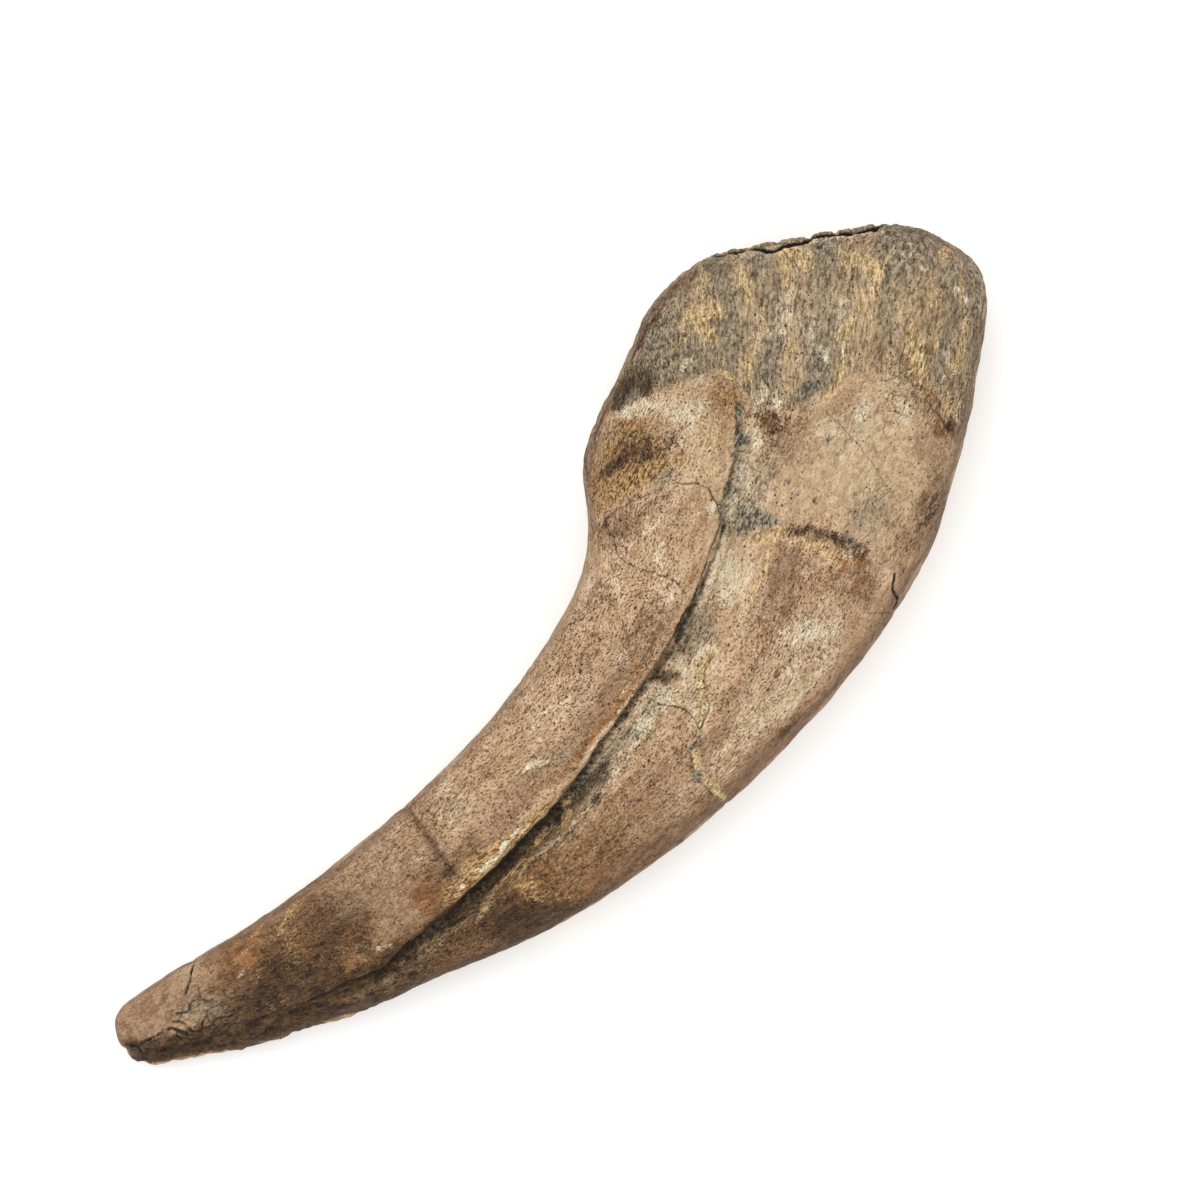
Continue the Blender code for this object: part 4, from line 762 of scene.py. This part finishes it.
def endRelief(spots, upper, wander):
    # beyond the end crack a lower, crumbling sliver
    end = measureFrom(smoothLine(cracks["end"][0], 3), spots + wander * clawMesh["endShare"])
    sliver = smoothStep(0.1, 0.5, end.offset) * smoothStep(3.0, 1.0, end.gap)
    sliver *= smoothStep(1.0, 0.0, end.past)
    return sliver * upper * (lumpy(spots, "sliverCrumbs") - clawMesh["sliverDrop"])


def jointRelief(spots, normals):
    # the joint face is open, pitted bone
    jointed = smoothStep(0.5, 0.85, normals @ clawMesh["jointFacing"])
    jointed *= smoothStep(*clawMesh["jointFrom"], spots[:, along])
    depth, size, octaves, shift = clawMesh["jointHoles"]
    holes = smoothStep(0.1, 0.5, cloud(spots, size, octaves, shift))
    return jointed * (lumpy(spots, "jointBumps") - depth * holes)


def hollowness(mesh, height):
    # how far each vertex lies below (positive) or above the middle of its surroundings, mm
    pairs = np.empty(len(mesh.edges) * 2, np.int64)
    mesh.edges.foreach_get("vertices", pairs)
    a, b = pairs.reshape(-1, 2).T
    count = np.bincount(pairs, minlength=len(height))
    soft = height.copy()
    for _ in range(clawMesh["hollowRings"]):
        soft = (np.bincount(a, soft[b], len(soft)) + np.bincount(b, soft[a], len(soft))) / count
    return soft - height


def spread(layer, spots, push, shared, dice):
    # how much of a stain or texture lies at each vertex, 0 to 1; the lower flank has patches of its own
    hidden = [[dice.uniform(*span) for span in hiddenPatch] for _ in range(layer["below"])]
    sides = []
    for patches, strips in ((layer["patches"], layer["strips"]), (hidden, ())):
        bare = np.full(len(spots), 1.0 - layer.get("level", 0.0))
        for x, y, long, wide, turn, strength in patches:
            c, s = cos(radians(turn)), sin(radians(turn))
            warped = spots + push * min(1.0, wide / 2.0)  # small patches are pushed less
            dx, dy = warped[:, along] - x, warped[:, across] - y
            far = ((dx * c + dy * s) / long) ** 2 + ((dy * c - dx * s) / wide) ** 2
            bare *= 1.0 - strength * np.exp(-0.7 * far**1.5)
        for line, wide, strength in strips:
            gap = measureFrom(smoothLine(line, 3), spots + push * min(1.0, wide / 4.0)).gap
            bare *= 1.0 - strength * np.exp(-0.7 * (gap / wide) ** 3)
        sides.append(1.0 - bare)
    return sides[0] * shared + sides[1] * (1.0 - shared)


def carveClaw(piece, size):
    # moves the vertices of the smooth mesh into the fossil's own relief and keeps what the material reads
    noise.seed_set(size["seed"])  # noise_vector takes its places from this, and otherwise from the clock
    mesh = piece.data
    spots, normals = readSpots(mesh), readNormals(mesh)
    rise, tilt = normals[:, up], np.abs(normals[:, up])
    upper = smoothStep(-0.1, 0.35, rise)
    # the cups of the joint face have floors that look up too, below the middle of the claw
    upper *= 1.0 - (smoothStep(*size["cupsFrom"], spots[:, along])
                    * smoothStep(*size["cupsBelow"], spots[:, up]))
    cracked = upper * smoothStep(0.0, 0.3, rise)
    wander = drift(spots, size["wander"])
    groove = measureGroove(spots + drift(spots, size["grooveWander"]) + wander * size["grooveShare"])
    sink, dark = crackProfile(spots, wander)
    crust = measureFrom(smoothLine(crustEdge), spots + drift(spots, size["crustWander"]))
    fibrous = smoothStep(-0.8, 0.8, -crust.offset) * (spots[:, along] > size["crustFrom"])

    height = lumpy(spots, "swells")
    height += lumpy(spots, "bumps")
    height -= sink * cracked
    # groove: a crisp notch under a thin raised lip
    share, under, wide = size["notch"]
    height -= share * groove.depth * bell(groove.offset, under, wide) * upper
    ridge, under, wide = size["lipRidge"]
    height += ridge * bell(groove.offset, under, wide) * smoothStep(0.2, 1.0, groove.depth)
    # fibres of the base, fanned from far behind the shaft, a step below the crust
    fanX, fanY = (spots[:, :2] - size["fanCentre"]).T
    fan = np.stack([np.hypot(fanX, fanY), np.arctan2(fanY, fanX) * size["fanRadius"], spots[:, up]], axis=1)
    height += fibrous * (lumpy(fan * (size["stretch"], 1.0, 1.0), "fibres") - size["crustStep"])
    height += tipRelief(spots, rise, wander)
    height += rimRelief(spots)
    height += endRelief(spots, upper, wander)
    height += jointRelief(spots, normals)
    for x, y, radius, depth in nicks:
        far = ((spots[:, along] - x) ** 2 + (spots[:, across] - y) ** 2) / radius**2
        height -= depth * np.exp(-far) * smoothStep(0.95, 0.5, tilt)
    writeSpots(mesh, spots + normals * height[:, None])

    # painted shadow under the lip of the groove, and the grey mud on its floor
    deep = groove.offset / groove.width
    underLipShade = groove.darkness * smoothStep(-0.15, 0.15, groove.offset) * smoothStep(1.9, 0.3, deep)
    mud = smoothStep(1.0, 1.6, deep) * smoothStep(5.0, 3.6, groove.offset)
    mud *= smoothStep(0.9, 1.8, groove.depth)
    middle = measureFrom(smoothLine(centreLine, 8), spots)
    sway = drift(spots, size["grainSway"])
    keep = {
        "grooveFloor": mud, "crackDark": dark * cracked, "fibrous": fibrous,
        "hollow": hollowness(mesh, height), "steep": smoothStep(0.8, 0.25, tilt),
        "lay": np.stack([middle.place, middle.offset, spots[:, up]], axis=1) + sway, "fan": fan + sway,
    }
    push = drift(spots, size["stainPush"])
    # on the steep sides the stains stray, or they would hang down as straight bars
    stray = drift(spots, size["steepPush"]) * smoothStep(0.4, 0.08, tilt)[:, None]
    shared = smoothStep(-0.95, -0.1, rise + lumpy(spots, "flankEdge"))
    dice = Random(size["seed"])
    for name, layer in {**stains, **textures}.items():
        keep[name] = spread(layer, spots + stray, push, shared, dice)
    keep["grooveShadeAndDirt"] = np.maximum(keep["grooveShadeAndDirt"], underLipShade * np.maximum(upper, 0.7))
    for name, values in keep.items():
        kind, slot = ("FLOAT_VECTOR", "vector") if values.ndim == 2 else ("FLOAT", "value")
        field = mesh.attributes.new(name, kind, "POINT")
        field.data.foreach_set(slot, values.ravel().astype(np.float32))


def fitBox(piece, node):
    # the finished mesh takes exactly the CAD node's box and stands on its floor
    low, high = (np.array(corner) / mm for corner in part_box(node))
    spots = readSpots(piece.data)
    least, most = spots.min(0), spots.max(0)
    writeSpots(piece.data, low + (spots - least) * (high - low) / (most - least))


claw = layMesh("claw")
print("mesh laid:", len(claw.data.polygons), "faces")
carveClaw(claw, clawMesh)
fitBox(claw, "claw")
claw.data.polygons.foreach_set("use_smooth", everyFace(claw))
print("claw carved:", sum(len(face.vertices) - 2 for face in claw.data.polygons), "triangles")

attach(claw, "root")
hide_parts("claw")


def addNode(tree, kind, sockets={}, **settings):
    # a socket takes a value, another node's output, or a node, which gives its first output
    node = tree.nodes.new("ShaderNode" + kind)
    for name, value in settings.items():
        setattr(node, name, value)
    for name, value in sockets.items():
        if isinstance(value, bpy.types.Node):
            value = value.outputs[0]
        if isinstance(value, bpy.types.NodeSocket):
            tree.links.new(value, node.inputs[name])
        else:
            node.inputs[name].default_value = value
    return node


# Fossil bone: dense bone whose pores and fibres are filled with brown, ochre and grey minerals, matt
# where it is porous and slightly polished on the crust. The eye sees fine dark pits and dashes along
# the grain, crumbling mineral patches over tan bone, and black dirt with painted shadow in the groove and
# cracks.
bone = bpy.data.materials.new("fossil_bone_mineral_stained")
bone.use_nodes = True
boneLook = {
    # place on the cloud, colour
    "tones": ((0.36, "#8F7053"), (0.45, "#AB8B6A"), (0.53, "#BC9D7D"), (0.64, "#D2B896")),
    "fibreTones": ((0.36, "#5F5240"), (0.45, "#8D7A5F"), (0.54, "#AE9675"), (0.66, "#CDB38B")),
    "broadShare": 0.35,  # of the widest cloud in the ground, next to its own
    # size of the lumps in mm, octaves, roughness, stretch along the grain
    "clouds": {
        "broad": (8.0, 3, 0.55, 1.6), "mottle": (2.2, 5, 0.68, 1.9), "hue": (3.6, 4, 0.6, 2.4),
        "streak": (1.4, 4, 0.74, 2.6), "crumb": (1.1, 3, 0.75, 1.5), "grain": (0.34, 1, 0.6, 3.0),
        "speckle": (0.3, 1, 0.6, 1.2), "dash": (0.45, 2, 0.6, 2.8), "flecks": (0.55, 2, 0.65, 1.6),
        "fibre": (0.5, 2, 0.65, 3.8),
    },
    # how far from 0.5 the lumps of a cloud reach, where their whole range is used
    "reaches": {"mottle": 0.14, "hue": 0.12, "streak": 0.14, "crumb": 0.14, "dash": 0.1, "flecks": 0.08},
    "grainShare": 0.4, "speckleShare": 0.6,
    "rustHue": "#A07A52", "rustShare": 0.25,
    "stainStart": 6.0,  # a stain is left out where its field is below one over this
    "mudDeep": "#5C4A31", "mudPale": "#A89270", "mudRange": (0.42, 0.6), "mudShare": 0.4,
    # the steep sides darken towards this colour as painted shade
    "sideShadeColour": "#5B452F", "sideShadeShare": 0.35,
    # what makes a mark, value where it starts, value where it is full, field of its thickness, strength,
    # brightness and saturation it gives. Grain and pores are drawn 0.3 to 0.5 mm wide, coarser than the
    # finest real ones, which would be less than a pixel.
    "marks": (
        # the first mark darkens hollows, the second lightens what stands proud as a painted highlight
        ("hollow", 0.02, 0.2, None, 0.8, 0.35, 1.0), ("hollow", -0.02, -0.15, None, 0.6, 1.35, 0.95),
        ("fibre", 0.49, 0.37, "fibrous", 0.85, 0.38, 1.0),
        ("fibre", 0.52, 0.64, "fibrous", 0.65, 1.35, 0.95),
        ("fine", 0.48, 0.38, "crisp", 1.0, 0.27, 1.15), ("fine", 0.50, 0.60, "crisp", 0.7, 1.45, 0.9),
        ("dash", 0.54, 0.64, "dashes", 1.0, 0.3, 1.15),
    ),
    # size of the cells in mm, radius of a pit and how much it varies, in cells
    "pitSizes": ((0.8, 0.1, 0.16), (1.5, 0.05, 0.07)),
    "pitRim": (1.3, 0.2),  # radii where a pit starts and where it is full
    "pitStretch": 1.25,
    "pitColour": "#2A1D12", "pitShare": 0.85,
    "crackleSize": 2.3, "crackleBend": 1.4, "crackleWidth": 0.08,
    "crackColour": "#1C140C", "crackBreakUp": 1.6, "crackRange": (0.95, 1.75),
    "pitDepth": 0.12, "grainDepth": 0.15, "crackleDepth": 0.08,  # mm
    "roughest": 0.85, "smoothest": 0.65, "fineRange": (0.35, 0.65),
}


def dressBone(tree, look):
    shader = tree.nodes["Principled BSDF"]
    fields = {name: addNode(tree, "Attribute", attribute_name=name).outputs["Fac"] for name in (
        *stains, *textures, "grooveFloor", "crackDark", "fibrous", "hollow", "steep")}
    # the grain follows the curve of the claw, and fans out over the fibrous base
    grain = addNode(tree, "Mix", {
        0: addNode(tree, "Math", {0: fields["fibrous"], 1: 0.5}, operation="GREATER_THAN"),
        4: addNode(tree, "Attribute", attribute_name="lay").outputs["Vector"],
        5: addNode(tree, "Attribute", attribute_name="fan").outputs["Vector"],
    }, data_type="VECTOR").outputs[1]

    clouds, lumps = {}, {}
    for name, (size, octaves, roughness, stretch) in look["clouds"].items():
        stretched = addNode(tree, "Mapping", {"Vector": grain, "Scale": (1 / stretch, 1, 1)})
        clouds[name] = addNode(tree, "TexNoise", {"Vector": stretched, "Scale": 1 / size, "Detail": octaves,
                                                  "Roughness": roughness})
    for name, reach in look["reaches"].items():
        lumps[name] = addNode(tree, "MapRange", {"Value": clouds[name], "From Min": 0.5 - reach,
                                                 "From Max": 0.5 + reach}, interpolation_type="SMOOTHSTEP")
    speckled = addNode(tree, "Math", {0: clouds["speckle"], 1: look["speckleShare"]}, operation="MULTIPLY")
    fine = addNode(tree, "Math", {0: clouds["grain"], 1: look["grainShare"], 2: speckled},
                   operation="MULTIPLY_ADD")

    # ground: mottled bone on the shaft, streaks along the fibres of the base
    grounds = []
    for tones, name in ((look["tones"], "mottle"), (look["fibreTones"], "streak")):
        share = addNode(tree, "Math", {0: clouds[name], 1: 1 - look["broadShare"]}, operation="MULTIPLY")
        blended = addNode(tree, "Math", {0: clouds["broad"], 1: look["broadShare"], 2: share},
                          operation="MULTIPLY_ADD")
        ramp = addNode(tree, "ValToRGB", {"Fac": blended})
        stops = ramp.color_ramp.elements
        while len(stops) < len(tones):
            stops.new(0.5)
        for stop, (place, tone) in zip(stops, tones):
            stop.position, stop.color = place, toLinear(tone)
        grounds.append(ramp)
    rusty = addNode(tree, "Math", {0: lumps["hue"], 1: look["rustShare"]}, operation="MULTIPLY")
    coats = [(fields["fibrous"], grounds[1]), (rusty, toLinear(look["rustHue"]))]

    # mineral stains and the painted shade among them, whose edges crumble along a cloud
    for name, stain in stains.items():
        ragged = addNode(tree, "Math", {0: clouds[stain["edge"]], 1: stain["breakUp"], 2: fields[name]},
                         operation="MULTIPLY_ADD")
        ragged = addNode(tree, "Math", {0: fine, 1: stain["grainy"], 2: ragged}, operation="MULTIPLY_ADD")
        middle = 0.5 + 0.5 * (stain["breakUp"] + stain["grainy"])
        least, most = middle - stain["soft"], middle + stain["soft"]
        mask = addNode(tree, "MapRange", {"Value": ragged, "From Min": least, "From Max": most},
                       interpolation_type="SMOOTHSTEP")
        present = addNode(tree, "Math", {0: fields[name], 1: look["stainStart"]}, operation="MULTIPLY",
                          use_clamp=True)
        mask = addNode(tree, "Math", {0: mask, 1: present}, operation="MULTIPLY")
        tone = addNode(tree, "Mix", {0: lumps[stain["weave"]], 6: toLinear(stain["deep"]),
                                     7: toLinear(stain["pale"])}, data_type="RGBA")
        coats.append((mask, tone.outputs[2]))

    # grey mud on the floor of the groove, and painted shade darkening the steep sides
    mud = addNode(tree, "Mix", {0: lumps["crumb"], 6: toLinear(look["mudDeep"]),
                                7: toLinear(look["mudPale"])}, data_type="RGBA")
    least, most = look["mudRange"]
    muddy = addNode(tree, "MapRange", {"Value": clouds["streak"], "From Min": least, "From Max": most,
                                       "To Max": look["mudShare"]}, interpolation_type="SMOOTHSTEP")
    muddy = addNode(tree, "Math", {0: muddy, 1: fields["grooveFloor"]}, operation="MULTIPLY")
    sideShade = addNode(tree, "Math", {0: fields["steep"], 1: look["sideShadeShare"]}, operation="MULTIPLY")
    coats += [(muddy, mud.outputs[2]), (sideShade, toLinear(look["sideShadeColour"]))]
    colour = grounds[0]
    for mask, tone in coats:
        colour = addNode(tree, "Mix", {0: mask, 6: colour, 7: tone}, data_type="RGBA").outputs[2]

    # darker in hollows, painted highlight on what stands proud, fibres, fine grain, speckle and dashes
    makers = {"hollow": fields["hollow"], "fine": fine, "fibre": clouds["fibre"], "dash": clouds["dash"]}
    for name, start, full, density, strength, brightness, saturation in look["marks"]:
        mark = addNode(tree, "MapRange", {"Value": makers[name], "From Min": start, "From Max": full,
                                          "To Max": strength}, interpolation_type="SMOOTHSTEP")
        if density:
            mark = addNode(tree, "Math", {0: mark, 1: fields[density]}, operation="MULTIPLY")
        colour = addNode(tree, "HueSaturation", {"Fac": mark, "Value": brightness, "Saturation": saturation,
                                                 "Color": colour}).outputs[0]
    relief = addNode(tree, "Math", {0: fine, 1: look["grainDepth"]}, operation="MULTIPLY")

    # pits: small dark holes, more of them where the field is high, drawn out a little along the grain
    coats = []
    drawnOut = addNode(tree, "Mapping", {"Vector": grain, "Scale": (1 / look["pitStretch"], 1, 1)})
    for size, radius, varies in look["pitSizes"]:
        cells = addNode(tree, "TexVoronoi", {"Vector": drawnOut, "Scale": 1 / size}, feature="F1")
        lots = addNode(tree, "SeparateColor", {"Color": cells.outputs["Color"]})
        reach = addNode(tree, "Math", {0: lots.outputs[1], 1: -varies, 2: cells.outputs["Distance"]},
                        operation="MULTIPLY_ADD")
        start, full = (radius * share for share in look["pitRim"])
        pit = addNode(tree, "MapRange", {"Value": reach, "From Min": start, "From Max": full},
                      interpolation_type="SMOOTHSTEP")
        chosen = addNode(tree, "Math", {0: lots.outputs[0], 1: fields["pits"]}, operation="LESS_THAN")
        pit = addNode(tree, "Math", {0: pit, 1: chosen}, operation="MULTIPLY")
        shown = addNode(tree, "Math", {0: pit, 1: look["pitShare"]}, operation="MULTIPLY")
        coats.append((shown, look["pitColour"]))
        relief = addNode(tree, "Math", {0: pit, 1: -look["pitDepth"], 2: relief}, operation="MULTIPLY_ADD")

    # net of fine cracks, broken up where the mottle is low
    bend = (look["crackleBend"],) * 3
    bent = addNode(tree, "VectorMath", {0: clouds["crumb"].outputs["Color"], 1: bend, 2: grain},
                   operation="MULTIPLY_ADD")
    net = addNode(tree, "TexVoronoi", {"Vector": bent, "Scale": 1 / look["crackleSize"]},
                  feature="DISTANCE_TO_EDGE")
    line = addNode(tree, "MapRange", {"Value": net, "From Min": look["crackleWidth"], "From Max": 0.0},
                   interpolation_type="SMOOTHSTEP")
    for factor in (fields["crackle"], lumps["mottle"]):
        line = addNode(tree, "Math", {0: line, 1: factor}, operation="MULTIPLY")
    relief = addNode(tree, "Math", {0: line, 1: -look["crackleDepth"], 2: relief}, operation="MULTIPLY_ADD")

    # painted shadow and black dirt in the cracks
    ragged = addNode(tree, "Math", {0: clouds["crumb"], 1: look["crackBreakUp"], 2: fields["crackDark"]},
                     operation="MULTIPLY_ADD")
    least, most = look["crackRange"]
    mask = addNode(tree, "MapRange", {"Value": ragged, "From Min": least, "From Max": most},
                   interpolation_type="SMOOTHSTEP")
    coats += [(line, look["pitColour"]), (mask, look["crackColour"])]
    for mask, tone in coats:
        colour = addNode(tree, "Mix", {0: mask, 6: colour, 7: toLinear(tone)}, data_type="RGBA").outputs[2]

    least, most = look["fineRange"]
    matt = addNode(tree, "MapRange", {"Value": fine, "From Min": least, "From Max": most,
                                      "To Min": look["roughest"], "To Max": look["smoothest"]})
    bump = addNode(tree, "Bump", {"Height": relief, "Distance": mm, "Strength": 1.0})
    for name, node in (("Base Color", colour), ("Roughness", matt.outputs[0]), ("Normal", bump.outputs[0])):
        tree.links.new(node, shader.inputs[name])
    shader.inputs["IOR"].default_value = 1.5
    shader.inputs["Specular IOR Level"].default_value = 0.25


dressBone(bone.node_tree, boneLook)
claw.data.materials.clear()
claw.data.materials.append(bone)
print("bone material made")

studio = {
    "floorSize": 8.0, "keyPlace": (0.02, 0.34, 1.3), "keySize": 1.6,  # m
    "skyColour": "#FFFFFF", "skyStrength": 0.86, "keyPower": 10.0,
    "lens": 260.0, "sensor": 36.0,  # mm
    "cameraPlace": (0.0135, 0.0078, 1.5126), "cameraTurn": -50.0,
}

bpy.ops.object.select_all(action="DESELECT")
bpy.ops.mesh.primitive_plane_add(size=studio["floorSize"], location=(0, 0, 0))
floor = bpy.context.object
floor.name = "studio_floor"
# Matt white paper, lit a little from within so that it stays white to the edge of the view
paper = bpy.data.materials.new("white_paper_sweep")
paper.use_nodes = True
paperLook = {"Base Color": toLinear("#F8F8F7"), "Roughness": 0.95, "Emission Color": toLinear("#FFFFFF"),
             "Emission Strength": 0.2}
for name, value in paperLook.items():
    paper.node_tree.nodes["Principled BSDF"].inputs[name].default_value = value
floor.data.materials.append(paper)

world = bpy.data.worlds.new("studio_air")
world.use_nodes = True
sky = world.node_tree.nodes["Background"].inputs
sky["Color"].default_value = toLinear(studio["skyColour"])
sky["Strength"].default_value = studio["skyStrength"]
bpy.context.scene.world = world

bpy.ops.object.light_add(type="AREA", location=studio["keyPlace"])
key = bpy.context.object
key.name = "key_softbox"
key.data.shape = "SQUARE"
key.data.size = studio["keySize"]
key.data.energy = studio["keyPower"]
key.rotation_euler = (-Vector(studio["keyPlace"])).to_track_quat("-Z", "Y").to_euler()

bpy.ops.object.camera_add(location=studio["cameraPlace"], rotation=(0, 0, radians(studio["cameraTurn"])))
camera = bpy.context.object
camera.data.lens = studio["lens"]
camera.data.sensor_width = studio["sensor"]
bpy.context.scene.camera = camera
bpy.context.scene.view_settings.view_transform = "Standard"
print("floor, light and camera set")
